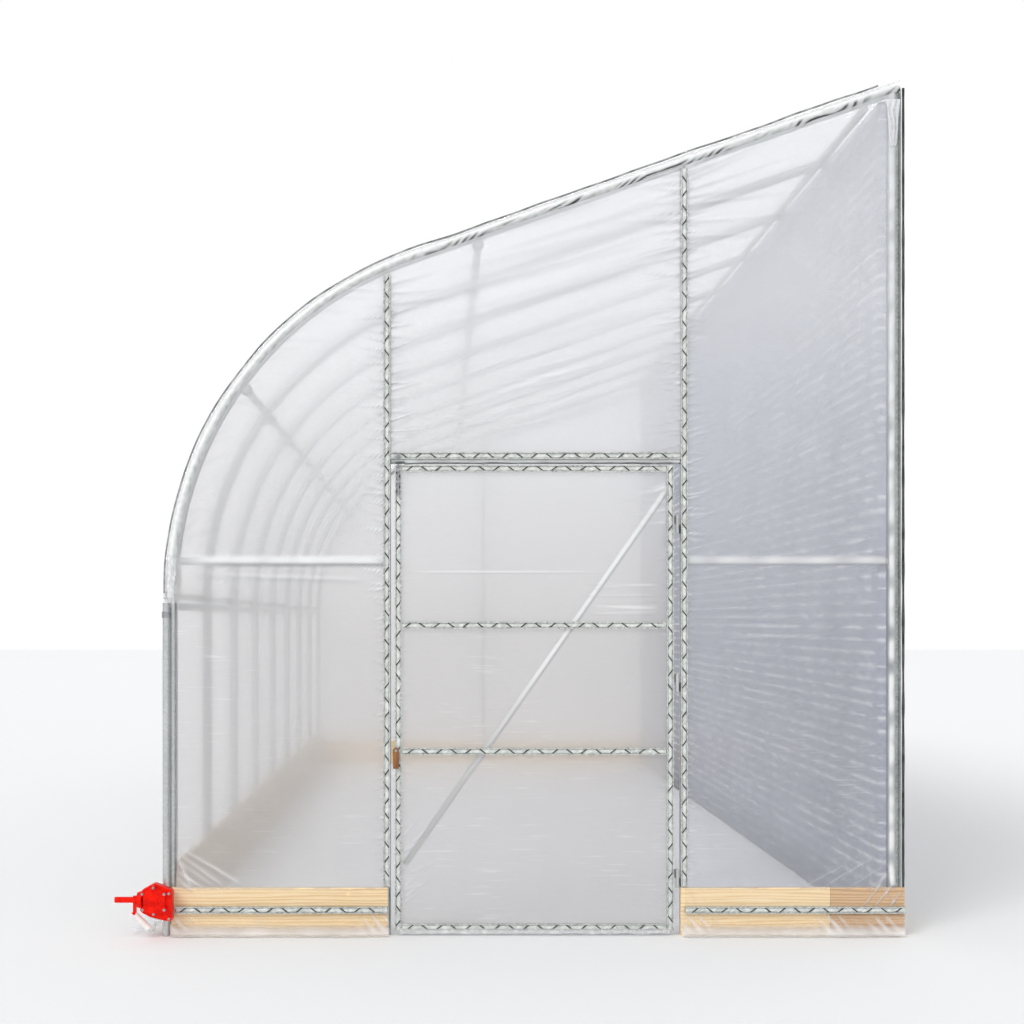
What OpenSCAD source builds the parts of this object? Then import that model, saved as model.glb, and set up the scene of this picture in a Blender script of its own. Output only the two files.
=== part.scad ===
// Lean-to polytunnel greenhouse: bent tube hoops under film, a hinged door in the
// front gable and a roll-up curtain with a hand winder on the low side.
// X runs from the low side to the tall side, Y from the front gable to the back, Z up.
// Pieces are drawn with x = 0 on the outer face of the low posts and y = 0 on the
// centre of the front hoop; place() then centres the whole building on the ground.

/* [House] */
// Width over the outer faces of the low and tall posts
house_w = 2984; // [2480:1:3600]
// Number of bays between hoops
bays = 8; // [3:1:10]
// Spacing of the hoops
bay = 1000; // [800:5:1250]
// Height where the low post starts to bend
eave_z = 1390; // [1200:5:1680]
// Outer radius of the shoulder bend
bend_r = 1455; // [1200:5:1750]
// Slope of the rafters, in degrees
roof_slope = 19.2; // [15:0.1:24]

/* [Tubes] */
// Diameter of the hoops, low posts and rafters
hoop_d = 42; // [33:1:51]
// Diameter of the tall-side posts
tall_post_d = 60; // [48:1:76]
// Diameter of the purlins, rails and door posts
rail_d = 32; // [25:1:40]
// Wall of the hoop joint sleeves
sleeve_t = 3; // [2:0.5:5]
// Length of the hoop joint sleeves
sleeve_l = 50; // [30:5:80]
// Where the joint sleeve sits on the bend, in degrees from the eave
sleeve_at = 65.7; // [40:0.1:66]
// Where the shoulder purlin sits on the bend, in degrees from the eave
shoulder_at = 35.9; // [20:0.1:50]
// Distance of the roof purlin from the low side
roof_purlin_x = 1262; // [1150:1:1700]
// Height of the eave rail inside the low posts
eave_rail_z = 1330; // [1100:5:1600]

/* [Film and channels] */
// Thickness that a sheet of film is drawn with
film_t = 3; // [2:0.5:4]
// Thickness of the woven sheet on the tall side
sheet_t = 6; // [3:0.5:8]
// Width of the lock channels
channel_w = 28; // [24:1:34]
// Depth of the lock channels
channel_d = 12; // [9:0.5:16]
// Wall of the lock channels
channel_t = 1.5; // [1:0.1:2.5]
// Width of the lips that hold the wire in a lock channel
channel_lip = 5; // [3:0.5:7]

/* [Boards] */
// Height of the front, back and tall-side boards
board_h = 195; // [150:5:240]
// Thickness of the boards
board_t = 25; // [18:1:38]
// Height of the two planks on the low side
low_board_h = 300; // [200:5:360]
// Height of the channel on the boards
board_channel_z = 107; // [60:1:130]
// Length of the short plank at the tall end of the front
short_plank = 300; // [200:5:500]

/* [Door] */
// Distance of the left door post from the low side
door_post_x = 893; // [700:1:1000]
// Width of the door leaf
door_w = 1128; // [900:1:1360]
// Height of the door leaf
door_h = 1883; // [1560:1:2260]
// Gap under the door leaf
door_lift = 20; // [12:1:40]
// Gap between the left post and the leaf
latch_gap = 16; // [8:1:25]
// Gap between the leaf and the right post
hinge_gap = 27; // [22:1:40]
// Gap between the leaf and the header
head_gap = 6; // [5:1:15]
// Diameter of the leaf's tubes
leaf_d = 25; // [20:1:30]
// Height of the lower middle rail of the leaf
low_rail_z = 745; // [600:5:900]
// Height of the upper middle rail of the leaf
high_rail_z = 1255; // [1000:5:1450]
// Height of the gable rails beside the door
gable_rail_z = 1515; // [1300:5:1800]

/* [Door ironwork] */
// Diameter of the hinge knuckles
knuckle_d = 14; // [12:1:18]
// Diameter of the hinge pins
hinge_pin_d = 8; // [6:0.5:10]
// Length of one hinge knuckle
knuckle_l = 36; // [25:1:60]
// Length of the wooden turn-button
button_l = 93; // [70:1:130]
// Width of the turn-button
button_w = 24; // [18:1:32]
// Thickness of the turn-button
button_t = 8; // [5:1:14]
// Height of the turn-button's screw
button_z = 749; // [500:1:1200]
// Diameter of the tower bolt's rod
bolt_d = 8; // [6:0.5:12]
// Length of the tower bolt's rod
bolt_l = 126; // [100:1:200]

/* [Winder] */
// Diameter of the curtain's roll tube
roll_d = 27; // [22:1:34]
// Height of the roll tube
roll_z = 146; // [140:1:400]
// Depth of the winder's housing
housing_d = 66; // [50:1:90]
// Diameter of the guide pole
pole_d = 28; // [22:1:34]
// Height of the guide pole
pole_h = 1345; // [900:5:1400]
// Height of the crank's axis above the roll tube
crank_rise = 9; // [0:1:20]
// Length of the crank's shaft
crank_shaft_l = 90; // [60:1:120]
// Diameter of the crank's shaft
crank_shaft_d = 24; // [16:1:28]
// Distance from the crank's axis to the grip's pin
crank_r = 60; // [56:1:70]
// Length of the plastic grip
grip_l = 80; // [60:1:80]
// Diameter of the plastic grip
grip_d = 28; // [20:1:30]

/* [Clearances] */
// Gap between pieces that lie against each other
fit = 0.3; // [0.2:0.1:0.6]
// Gap that moving flat pieces keep
move_gap = 5.4; // [5:0.2:8]
// Radial play of a pin in its hole
pin_play = 0.06; // [0.03:0.01:0.1]

/* [Hidden] */
$fn = 48;

house_l = bays * bay;
hoop_r = hoop_d / 2;
rail_r = rail_d / 2;
leaf_r = leaf_d / 2;
tall_r = tall_post_d / 2;
centre_r = bend_r - hoop_r;
bend_deg = 90 - roof_slope;

// Layers of the gables, measured outwards from the hoops' centre plane
board_near = hoop_r + fit;
film_near = hoop_r + sleeve_t + 2 * fit;
film_far = film_near + film_t;
channel_near = film_far + fit;
channel_far = channel_near + channel_d;
board_far = board_near + board_t;
hem_near = board_far + fit;
hem_far = hem_near + film_t;
board_channel_near = hem_far + fit;
board_channel_far = board_channel_near + channel_d;
frame_y = -(hoop_r - rail_r);

// The bend and the rafter, seen from the front
function on_bend(deg, r) = [bend_r - r * cos(deg), eave_z + r * sin(deg)];
rafter_from = on_bend(bend_deg, centre_r);
function rafter_z(x, off) =
    rafter_from[1] + (x - rafter_from[0]) * tan(roof_slope) + off / cos(roof_slope);
rafter_run = (house_w - rafter_from[0]) / cos(roof_slope);
rafter_l = rafter_run - hoop_r * tan(roof_slope) * 2;
function outline_z(x, inset) =
    x < on_bend(bend_deg, bend_r - inset)[0]
        ? eave_z + sqrt(max(0, pow(bend_r - inset, 2) - pow(bend_r - x, 2)))
        : rafter_z(x, hoop_r - inset);

// Places across the front
right_post_x = door_post_x + rail_r + latch_gap + door_w + hinge_gap + rail_r;
leaf_x0 = door_post_x + rail_r + latch_gap;
leaf_x1 = leaf_x0 + door_w;
leaf_z0 = door_lift;
leaf_z1 = door_lift + door_h;
header_z = leaf_z1 + head_gap + rail_r;
header_channel_z = header_z + rail_r;
leaf_y = -film_far + film_t + leaf_r;
tall_post_x = house_w - tall_r;

// Places on the tall side
tall_inner = house_w - tall_post_d;
tall_rail_x = tall_inner - fit - leaf_r;
sheet_x = tall_inner - leaf_d - 2 * fit - sheet_t;
tall_board_x = tall_inner - fit - board_t;

// Places on the low side and at the winder
curtain_x = -(fit + channel_d + fit + film_t);
roll_x = curtain_x - fit - roll_d / 2;
skirt_l = 135;
skirt_t = 4;
pole_x = 2;
pole_y = -(film_far + fit + pole_d / 2 + 3);
housing_y1 = pole_y - pole_d / 2 - 4;
housing_y0 = housing_y1 - housing_d;
housing_y = (housing_y0 + housing_y1) / 2;
crank_z = roll_z + crank_rise;
nose_x0 = roll_x - 75;
nose_x1 = nose_x0 + 20;
nose_d = 80;
boss_t = 6;
ring_t = 3;
crank_x1 = nose_x0 - fit;
crank_x0 = crank_x1 - crank_shaft_l;
arm_t = 12;
arm_x = crank_x1 - 4 - arm_t;
grip_from = [arm_x + arm_t / 2, crank_z - crank_r];

// Hinges and latch
hinge_x = leaf_x1 + hinge_gap / 2;
hinge_y = -(channel_far + 3.4);
hinge_zs = [leaf_z0 + 210, leaf_z0 + door_h / 2 + 60, leaf_z1 - 240];
button_x = leaf_x0 + 5;
button_y = -(channel_far + move_gap);
bolt_x = leaf_x0 + channel_w / 2;
bolt_y = -(channel_far + bolt_d / 2 + 3.4);
bolt_z1 = leaf_z1 + 2;
bolt_stroke = 35;
staple_h = 12;
keeper_z = header_channel_z - 10;

// The box that the building is centred in
mid_x = (crank_x0 + house_w) / 2;
mid_y = (housing_y0 - boss_t + house_l + board_far) / 2;

module place() translate([-mid_x, -mid_y, 0]) children();

module along_y(x, z, d, y0, y1)
    translate([x, y0, z]) rotate([-90, 0, 0]) cylinder(d = d, h = y1 - y0);

module along_x(y, z, d, x0, x1)
    translate([x0, y, z]) rotate([0, 90, 0]) cylinder(d = d, h = x1 - x0);

module at_hoops() for (i = [0 : bays]) translate([0, i * bay, 0]) children();

// Part of a ring round the bend's centre, in the plane of a hoop
module bend_ring(from_deg, to_deg)
    translate([bend_r, 0, eave_z]) rotate([90, 0, 0]) rotate([0, 0, 180 - to_deg])
        rotate_extrude(angle = to_deg - from_deg) children();

// A flat panel in the plane of a gable, from y0 to y1
module panel(points, y0, y1)
    translate([0, y1, 0]) rotate([90, 0, 0]) linear_extrude(height = y1 - y0) polygon(points);

// Lock channel: an open C with lips, its back on y = 0 and its mouth towards -y, along +z
module channel(length) {
    half = channel_w / 2;
    linear_extrude(height = length)
        polygon([
            [-half, 0], [half, 0], [half, -channel_d], [half - channel_lip, -channel_d],
            [half - channel_lip, -channel_d + channel_t], [half - channel_t, -channel_d + channel_t],
            [half - channel_t, -channel_t], [-half + channel_t, -channel_t],
            [-half + channel_t, -channel_d + channel_t], [-half + channel_lip, -channel_d + channel_t],
            [-half + channel_lip, -channel_d], [-half, -channel_d]
        ]);
}

module channel_up(x, y, z0, z1) translate([x, y, z0]) channel(z1 - z0);

module channel_across(x0, x1, y, z) translate([x0, y, z]) rotate([0, 90, 0]) channel(x1 - x0);

// ---- Hoops, posts and purlins

module low_posts() color("lightsteelblue") place() at_hoops()
    translate([hoop_r, 0, 0]) cylinder(d = hoop_d, h = eave_z - fit);

module hoop_bends() color("lightsteelblue") place() at_hoops()
    bend_ring(0, bend_deg) translate([centre_r, 0]) circle(d = hoop_d);

module rafters() color("lightsteelblue") place() at_hoops()
    translate([rafter_from[0], 0, rafter_from[1]]) rotate([0, 90 - roof_slope, 0])
        translate([0, 0, fit]) cylinder(d = hoop_d, h = rafter_l - fit);

module hoop_sleeves() color("silver") place() at_hoops() {
    half_deg = sleeve_l / 2 / centre_r * 180 / PI;
    bend_ring(sleeve_at - half_deg, sleeve_at + half_deg)
        translate([centre_r, 0]) difference() {
            circle(d = hoop_d + 2 * (fit + sleeve_t));
            circle(d = hoop_d + 2 * fit);
        }
}

// Tall posts, cut along the rafters that they carry; the end ones stand flush with the gables
function tall_shift(i) = i == 0 ? tall_r - hoop_r : i == bays ? hoop_r - tall_r : 0;
module tall_posts() color("darkseagreen") place() for (i = [0 : bays]) translate([0, i * bay, 0]) difference() {
    translate([tall_post_x, tall_shift(i), 0]) cylinder(d = tall_post_d, h = rafter_z(house_w, 0));
    translate([rafter_from[0], -tall_post_d, rafter_from[1]]) rotate([0, -roof_slope, 0])
        translate([0, 0, -hoop_r - fit]) cube([2 * house_w, 2 * tall_post_d, house_w]);
}

purlin_off = hoop_r + fit + rail_r;
shoulder_at_xz = on_bend(shoulder_at, centre_r - purlin_off);
ridge_purlin_x = sheet_x - 2 * rail_d;
eave_rail_x = hoop_d + fit + rail_r;
purlin_places = [
    [eave_rail_x, eave_rail_z],
    shoulder_at_xz,
    [roof_purlin_x, rafter_z(roof_purlin_x, -purlin_off)],
    [ridge_purlin_x, rafter_z(ridge_purlin_x, -purlin_off)]
];

module purlins() color("lightsteelblue") place() for (p = purlin_places)
    along_y(p[0], p[1], rail_d, -hoop_r, house_l + hoop_r);

// A saddle round the purlin under each hoop, open towards the hoop, whose side is at deg from +x
clamp_t = 7;
clamp_l = 30;
module clamp_at(p, deg) translate([p[0], 0, p[1]]) rotate([90, 0, 0]) difference() {
    cylinder(d = rail_d + 2 * clamp_t, h = clamp_l, center = true);
    cylinder(d = rail_d + 2 * fit, h = 2 * clamp_l, center = true);
    rotate([0, 0, deg]) translate([rail_r - 3, -rail_d, -clamp_l]) cube([rail_d, 2 * rail_d, 2 * clamp_l]);
}
module purlin_clamps() color("dimgray") place() at_hoops() {
    clamp_at(purlin_places[1], 180 - shoulder_at);
    clamp_at(purlin_places[2], 90 + roof_slope);
}

// ---- Gable frames

// The left post meets the hoop at the joint sleeve
module door_posts() color("lightsteelblue") place()
    for (p = [[door_post_x, sleeve_t + fit], [right_post_x, 0]]) translate([p[0], frame_y, 0])
        cylinder(d = rail_d, h = outline_z(p[0] - rail_r, hoop_d + p[1]) - fit);

module gable_rails() color("lightsteelblue") place() {
    along_x(frame_y, gable_rail_z, rail_d, gable_rail_x0, door_post_x - rail_r - fit);
    along_x(frame_y, header_z, rail_d, door_post_x + rail_r + fit, right_post_x - rail_r - fit);
    along_x(frame_y, gable_rail_z, rail_d, right_post_x + rail_r + fit, tall_inner - fit);
}
// The left rail starts where the inside of the front hoop is at the rail's height
gable_rail_x0 = gable_rail_z + rail_r > eave_z
    ? bend_r - sqrt(pow(bend_r - hoop_d - fit, 2) - pow(gable_rail_z + rail_r - eave_z, 2))
    : hoop_d + fit;

module back_post() color("lightsteelblue") place()
    translate([house_w / 2, house_l - frame_y, 0])
        cylinder(d = rail_d, h = outline_z(house_w / 2 - rail_r, hoop_d) - fit);

// ---- Boards

module plank(x0, x1, y0, y1, z0, z1) translate([x0, y0, z0]) cube([x1 - x0, y1 - y0, z1 - z0]);

board_x0 = 22;
board_x1 = door_post_x + 4;
side_y0 = frame_y + rail_r + fit;
module front_boards() color("burlywood") place() {
    joint = house_w - short_plank;
    plank(board_x0, board_x1, -board_far, -board_near, 0, board_h);
    plank(right_post_x - rail_r, joint - fit, -board_far, -board_near, 0, board_h);
    plank(joint, house_w, -board_far, -board_near, 0, board_h);
}

module back_boards() color("burlywood") place() {
    plank(board_x0, house_w / 2 - fit, house_l + board_near, house_l + board_far, 0, board_h);
    plank(house_w / 2, house_w, house_l + board_near, house_l + board_far, 0, board_h);
}

module low_side_boards() color("burlywood") place() for (half = [0, 1], row = [0, 1])
    plank(hoop_d + fit, hoop_d + fit + board_t,
        half == 0 ? -hoop_r : house_l / 2 + fit, half == 0 ? house_l / 2 : house_l + hoop_r,
        row * (low_board_h + fit) / 2, (row + 1) * low_board_h / 2);

module tall_side_boards() color("burlywood") place() for (half = [0, 1])
    plank(tall_board_x, tall_board_x + board_t,
        half == 0 ? side_y0 : house_l / 2 + fit, half == 0 ? house_l / 2 : house_l + hoop_r, 0, board_h);

// ---- Lock channels

module gable_channels() color("gainsboro") place() {
    for (x = [door_post_x, right_post_x])
        channel_up(x, -channel_near, board_h + fit, outline_z(x - channel_w / 2, hoop_d));
    channel_across(door_post_x + channel_w / 2 + fit, right_post_x - channel_w / 2 - fit,
        -channel_near, header_channel_z);
}

// The left channel starts beside the winder
module board_channels() color("gainsboro") place() {
    channel_across(roll_x + 66 + 3, board_x1, -board_channel_near, board_channel_z);
    channel_across(right_post_x, house_w, -board_channel_near, board_channel_z);
}

// Channel outside the low posts, where the roof film ends and the curtain hangs
module eave_channel() color("gainsboro") place()
    translate([-fit, house_l + hoop_r, eave_z - channel_w / 2 - fit]) rotate([90, 0, 0]) rotate([0, 0, -90])
        channel(house_l + hoop_d);

// Channel outside the tall posts, where the roof film ends
module ridge_channel() color("gainsboro") place()
    translate([house_w + fit, house_l + hoop_r, rafter_z(house_w, -hoop_r) - 60]) rotate([90, 0, 0])
        rotate([0, 0, 90]) channel(house_l - bay / 20);

// ---- Film

module shoulder_film() color("lightcyan", 0.4) place()
    translate([0, house_l + hoop_r, 0]) bend_ring(0, bend_deg)
        translate([bend_r + film_near - hoop_r, 0]) square([film_t, house_l + hoop_d]);

module roof_film() color("lightcyan", 0.4) place()
    translate([rafter_from[0], -hoop_r, rafter_from[1]]) rotate([0, -roof_slope, 0])
        translate([0, 0, film_near]) cube([rafter_run - hoop_r * tan(roof_slope), house_l + hoop_d, film_t]);

film_edge = 6;
bend_film_end = on_bend(bend_deg, bend_r)[0];
module front_film_left() color("lightcyan", 0.4) place()
    panel(concat(
        [[door_post_x - fit, board_h + fit], [film_edge, board_h + fit]],
        [for (i = [0 : 16]) let (x = film_edge + (door_post_x - fit - film_edge) * pow(i / 16, 2))
            [x, outline_z(x, fit)]]
    ), -film_far, -film_near);

module front_film_top() color("lightcyan", 0.4) place()
    panel([
        [door_post_x, header_z], [door_post_x, outline_z(door_post_x, fit)],
        [bend_film_end, outline_z(bend_film_end, fit)],
        [right_post_x, outline_z(right_post_x, fit)], [right_post_x, header_z]
    ], -film_far, -film_near);

module front_film_right() color("lightcyan", 0.4) place()
    panel([
        [right_post_x + fit, board_h + fit], [right_post_x + fit, outline_z(right_post_x, fit)],
        [house_w, outline_z(house_w, fit)], [house_w, board_h + fit]
    ], -film_far, -film_near);

module back_film() color("lightcyan", 0.4) place()
    panel(concat(
        [[house_w, board_h + fit], [film_edge, board_h + fit]],
        [for (i = [0 : 16]) let (x = film_edge + (bend_film_end - film_edge) * pow(i / 16, 2))
            [x, outline_z(x, fit)]],
        [[house_w, outline_z(house_w, fit)]]
    ), house_l + film_near, house_l + film_far);

module tall_side_sheet() color("lightsteelblue") place()
    plank(sheet_x, sheet_x + sheet_t, side_y0, house_l + hoop_r,
        board_h - 40, rafter_z(sheet_x, -hoop_r) - fit);

module tall_side_rails() color("lightsteelblue") place()
    for (z = [board_h + 60, gable_rail_z, rafter_z(tall_rail_x, -hoop_r) - leaf_d])
        along_y(tall_rail_x, z, leaf_d, side_y0, house_l + hoop_r);

curtain_top = eave_z - fit;
module side_curtain() color("lightcyan", 0.4) place()
    plank(curtain_x, curtain_x + film_t, -hoop_r, house_l + hoop_r, roll_z, curtain_top);

// Spare film under the roll tube, lying out over the ground
module curtain_skirt() color("lightcyan", 0.4) place()
    panel([
        [roll_x - film_t, 0], [roll_x, 0], [roll_x, roll_z - roll_d / 2 - fit],
        [roll_x - film_t, roll_z - roll_d / 2 - fit], [roll_x - film_t, skirt_t],
        [roll_x - skirt_l, skirt_t], [roll_x - skirt_l, 0]
    ], -hoop_r, house_l + hoop_r);

// Film that hangs over the front boards and lies out over the ground
hem_out = 70;
module hem(x0, x1) {
    plank(x0, x1, -hem_far, -hem_near, 0, board_channel_z + channel_w / 2 + 10);
    plank(x0, x1, -hem_far - hem_out, -hem_far + film_t / 2, 0, skirt_t);
}
module front_hems() color("lightcyan", 0.4) place() {
    union() hem(board_x0, board_x1);
    union() hem(right_post_x, house_w);
}

// ---- Roll-up side and its winder

module roll_tube() color("whitesmoke") place()
    along_y(roll_x, roll_z, roll_d, housing_y1 + fit, house_l + hoop_r);

module guide_pole() color("lightsteelblue") place()
    translate([pole_x, pole_y, 0]) cylinder(d = pole_d, h = pole_h);

// Clip that ties the pole's top to the front post, past the edge of the gable film
clip_h = 25;
module pole_clip() color("silver") place() translate([0, 0, pole_h - 60]) difference() {
    union() {
        translate([pole_x, pole_y, 0]) cylinder(d = pole_d + 2 * ring_t, h = clip_h);
        translate([pole_x - 6, pole_y, 0]) cube([film_edge - 2 * fit - pole_x + 6, -pole_y - 10, clip_h]);
    }
    translate([pole_x, pole_y, -1]) cylinder(d = pole_d + 2 * fit, h = clip_h + 2);
    translate([hoop_r, 0, -1]) cylinder(d = hoop_d + 2 * fit, h = clip_h + 2);
}

// Gear housing: a cast body round the roll tube's end, with a round nose for the crank
module winder_housing() color("red") place() union() {
    panel([
        [nose_x1, crank_z + 41], [roll_x - 6, roll_z + 77], [roll_x + 66, roll_z + 48],
        [roll_x + 66, roll_z - 73], [roll_x + 38, roll_z - 73], [nose_x1, crank_z - 50]
    ], housing_y0, housing_y1);
    along_x(housing_y, crank_z, nose_d, nose_x0, nose_x1 + 10);
    translate([roll_x, housing_y0 + 2, roll_z]) rotate([90, 0, 0]) cylinder(d = 34, h = boss_t + 2);
}

// Ring that keeps the housing on the guide pole
module winder_guide() color("red") place() translate([0, 0, roll_z + 26]) difference() {
    union() {
        translate([pole_x, pole_y, 0]) cylinder(d = pole_d + 2 * ring_t, h = 20);
        translate([pole_x - 12, housing_y1 + fit, 0]) cube([24, pole_y - housing_y1, 20]);
    }
    translate([pole_x, pole_y, -1]) cylinder(d = pole_d + 4 * fit, h = 22);
}

// Crank: the gear's shaft, an arm down from it and the pin of the folded grip
arm_w = 20;
arm_end = crank_r - 8;
pin_d = 10;
module at_grip() translate([grip_from[0], housing_y, grip_from[1]]) rotate([0, 135, 0]) children();
module crank() color("red") place() union() {
    along_x(housing_y, crank_z, crank_shaft_d, crank_x0, crank_x1);
    along_x(housing_y, crank_z, crank_shaft_d + 10, arm_x, arm_x + arm_t);
    translate([arm_x, housing_y - arm_w / 2, crank_z - arm_end]) cube([arm_t, arm_w, arm_end]);
    at_grip() translate([0, 0, -14]) cylinder(d = pin_d, h = 14 - fit);
}

module crank_grip() color("white") place() at_grip() cylinder(d = grip_d, h = grip_l);

// ---- Door leaf

// The brace runs behind the leaf, from the top hinge corner to the bottom latch corner
brace_from = [leaf_x1 - leaf_d - 3, leaf_z1 - 101];
brace_to = [leaf_x0 + leaf_d + 16, leaf_z0 + 263];
brace_run = brace_from - brace_to;
module door_frame() color("lightsteelblue") place() {
    for (x = [leaf_x0 + leaf_r, leaf_x1 - leaf_r])
        translate([x, leaf_y, leaf_z0]) cylinder(d = leaf_d, h = door_h);
    for (z = [leaf_z0 + leaf_r, low_rail_z, high_rail_z, leaf_z1 - leaf_r])
        along_x(leaf_y, z, leaf_d, leaf_x0 + leaf_d + fit, leaf_x1 - leaf_d - fit);
    translate([brace_to[0], leaf_y + leaf_d + fit, brace_to[1]]) rotate([0, atan2(brace_run[0], brace_run[1]), 0])
        cylinder(d = leaf_d, h = norm(brace_run));
}

leaf_channel_y = -channel_near;
module door_channels() color("gainsboro") place() {
    for (x = [leaf_x0 + channel_w / 2, leaf_x1 - channel_w / 2])
        channel_up(x, leaf_channel_y, leaf_z0, leaf_z1);
    for (z = [leaf_z0 + channel_w / 2, low_rail_z, high_rail_z, leaf_z1 - channel_w / 2])
        channel_across(leaf_x0 + channel_w + fit, leaf_x1 - channel_w - fit, leaf_channel_y, z);
}

module door_film() color("lightcyan", 0.4) place()
    plank(leaf_x0 + 1, leaf_x1 - 1, -channel_near + fit, -channel_near + film_t, leaf_z0 + 1, leaf_z1 - 1);

// Frame half of each hinge: a lower knuckle with its pin, on a tab that is fixed to the post
module hinge_pins() color("dimgray") place() for (z = hinge_zs) translate([hinge_x, hinge_y, z]) union() {
    translate([0, 0, -knuckle_l]) cylinder(d = knuckle_d, h = knuckle_l);
    cylinder(d = hinge_pin_d, h = knuckle_l + 6);
    translate([2, 0, -knuckle_l]) cube([4, frame_y - hinge_y, knuckle_l]);
    translate([2, frame_y - hinge_y - 4, -knuckle_l]) cube([hinge_gap / 2 - 2 - fit, 4, knuckle_l]);
}

// Leaf half of each hinge: the upper knuckle, on a tab that is fixed to the stile
module hinge_sleeves() color("dimgray") place() for (z = hinge_zs) translate([hinge_x, hinge_y, z]) difference() {
    union() {
        translate([0, 0, fit]) cylinder(d = knuckle_d, h = knuckle_l);
        translate([-6, 0, fit]) cube([4, leaf_y - hinge_y, knuckle_l]);
        translate([-hinge_gap / 2 + fit, leaf_y - hinge_y - 4, fit]) cube([hinge_gap / 2 - 2 - fit, 4, knuckle_l]);
    }
    translate([0, 0, -1]) cylinder(d = hinge_pin_d + 2 * pin_play, h = knuckle_l + 3);
}

// Staple that the tower bolt slides in, with a hole of diameter hole_d
module staple(z, hole_d) difference() {
    plank(bolt_x - 9, bolt_x + 9, bolt_y - bolt_d / 2 - 3, -channel_far - fit, z, z + staple_h);
    translate([bolt_x, bolt_y, z - 1]) cylinder(d = hole_d, h = staple_h + 2);
}

knob_h = 10;
low_staple_z = bolt_z1 - bolt_l + knob_h + bolt_stroke + 5;
module bolt_rod() color("dimgray") place() translate([bolt_x, bolt_y, bolt_z1 - bolt_l]) union() {
    cylinder(d = bolt_d, h = bolt_l);
    cylinder(d = bolt_d + 6, h = knob_h);
}

// The keeper on the header's channel is a strap, with a square hole that is open towards the rod's play
keeper_hole = bolt_d + 2;
module bolt_keeper() color("silver") place() difference() {
    plank(bolt_x - 9, bolt_x + 9, bolt_y - bolt_d / 2 - 3, -channel_far - fit, keeper_z, keeper_z + staple_h);
    translate([bolt_x, bolt_y, keeper_z + staple_h / 2]) cube([keeper_hole, keeper_hole, 2 * staple_h], center = true);
}

// Wooden button that turns over the left post's channel to hold the leaf shut
module turn_button() color("peru") place() difference() {
    union() {
        plank(button_x - button_w / 2, button_x + button_w / 2, button_y - button_t, button_y,
            button_z + button_w / 2 + 8 - button_l, button_z);
        translate([button_x, button_y, button_z]) rotate([90, 0, 0]) cylinder(d = button_w, h = button_t);
    }
    translate([button_x, button_y + 1, button_z]) rotate([90, 0, 0])
        cylinder(d = 6 + 2 * pin_play, h = button_t + 2);
}

// The tower bolt's staples, and the button's screw on its spacer
module latch_fittings() color("silver") place() {
    staple(bolt_z1 - 30, bolt_d + 4 * pin_play);
    staple(low_staple_z, bolt_d + 4 * pin_play);
    union() {
        plank(leaf_x0 + 1, button_x + 10, button_y + fit, -channel_far - fit, button_z - 8, button_z + 8);
        translate([button_x, button_y + 1, button_z]) rotate([90, 0, 0]) cylinder(d = 6, h = button_t + 2);
        translate([button_x, button_y - button_t - fit, button_z]) rotate([90, 0, 0]) cylinder(d = 12, h = 3);
    }
}

low_posts();
hoop_bends();
rafters();
hoop_sleeves();
tall_posts();
purlins();
purlin_clamps();
door_posts();
gable_rails();
back_post();
front_boards();
low_side_boards();
tall_side_boards();
back_boards();
gable_channels();
board_channels();
eave_channel();
ridge_channel();
shoulder_film();
roof_film();
front_film_left();
front_film_top();
front_film_right();
back_film();
tall_side_sheet();
tall_side_rails();
side_curtain();
curtain_skirt();
front_hems();
roll_tube();
guide_pole();
pole_clip();
winder_housing();
winder_guide();
crank();
crank_grip();
door_frame();
door_channels();
door_film();
hinge_pins();
hinge_sleeves();
latch_fittings();
bolt_rod();
bolt_keeper();
turn_button();
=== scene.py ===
# %% [markdown]
# # A lean-to polytunnel greenhouse
# Bent steel hoops carry clear film. A boarded foot, a film-covered door and a curtain that rolls up
# finish it. The steel, the boards and the ironwork come from the engineering model, the frame. What
# is made here is what such a model can't show: thin creased film, spring wire, wood grain and paint.

# %% The frame
import math
import bmesh
import bpy
import numpy as np
from mathutils import Matrix, Vector, noise


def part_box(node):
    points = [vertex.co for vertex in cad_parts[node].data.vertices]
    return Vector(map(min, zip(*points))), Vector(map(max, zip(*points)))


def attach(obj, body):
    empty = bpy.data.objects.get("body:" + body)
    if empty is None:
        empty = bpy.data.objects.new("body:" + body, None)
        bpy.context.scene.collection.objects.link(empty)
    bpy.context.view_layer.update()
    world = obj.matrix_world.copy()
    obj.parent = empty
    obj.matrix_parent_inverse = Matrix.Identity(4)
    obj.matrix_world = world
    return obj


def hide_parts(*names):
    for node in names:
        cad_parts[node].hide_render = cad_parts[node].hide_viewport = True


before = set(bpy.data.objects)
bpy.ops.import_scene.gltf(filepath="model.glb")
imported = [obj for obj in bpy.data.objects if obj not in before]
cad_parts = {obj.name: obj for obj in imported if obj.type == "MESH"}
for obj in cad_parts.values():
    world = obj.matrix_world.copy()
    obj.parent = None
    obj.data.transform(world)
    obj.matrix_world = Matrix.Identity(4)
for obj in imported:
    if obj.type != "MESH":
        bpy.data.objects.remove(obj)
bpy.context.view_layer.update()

# %% [markdown]
# ## Sizes
# A maker measures the house from the outer face of the low posts, the middle of the front hoop and
# the ground, in millimetres. `at` turns such a place into the frame's metres.

# %% Sizes in millimetres
HOUSE_W, HOUSE_L, BAYS = 2984, 8000, 8
EAVE_Z, BEND_R, HOOP_R = 1390, 1455, 21
SLOPE = math.radians(19.2)
BEND_END = math.pi / 2 - SLOPE
LEFT_POST, RIGHT_POST = 893, 2096
LEAF_X0, LEAF_X1, LEAF_Z0, LEAF_Z1 = 925, 2053, 20, 1903
BAY = HOUSE_L // BAYS
BOARD_H = 195
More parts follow.
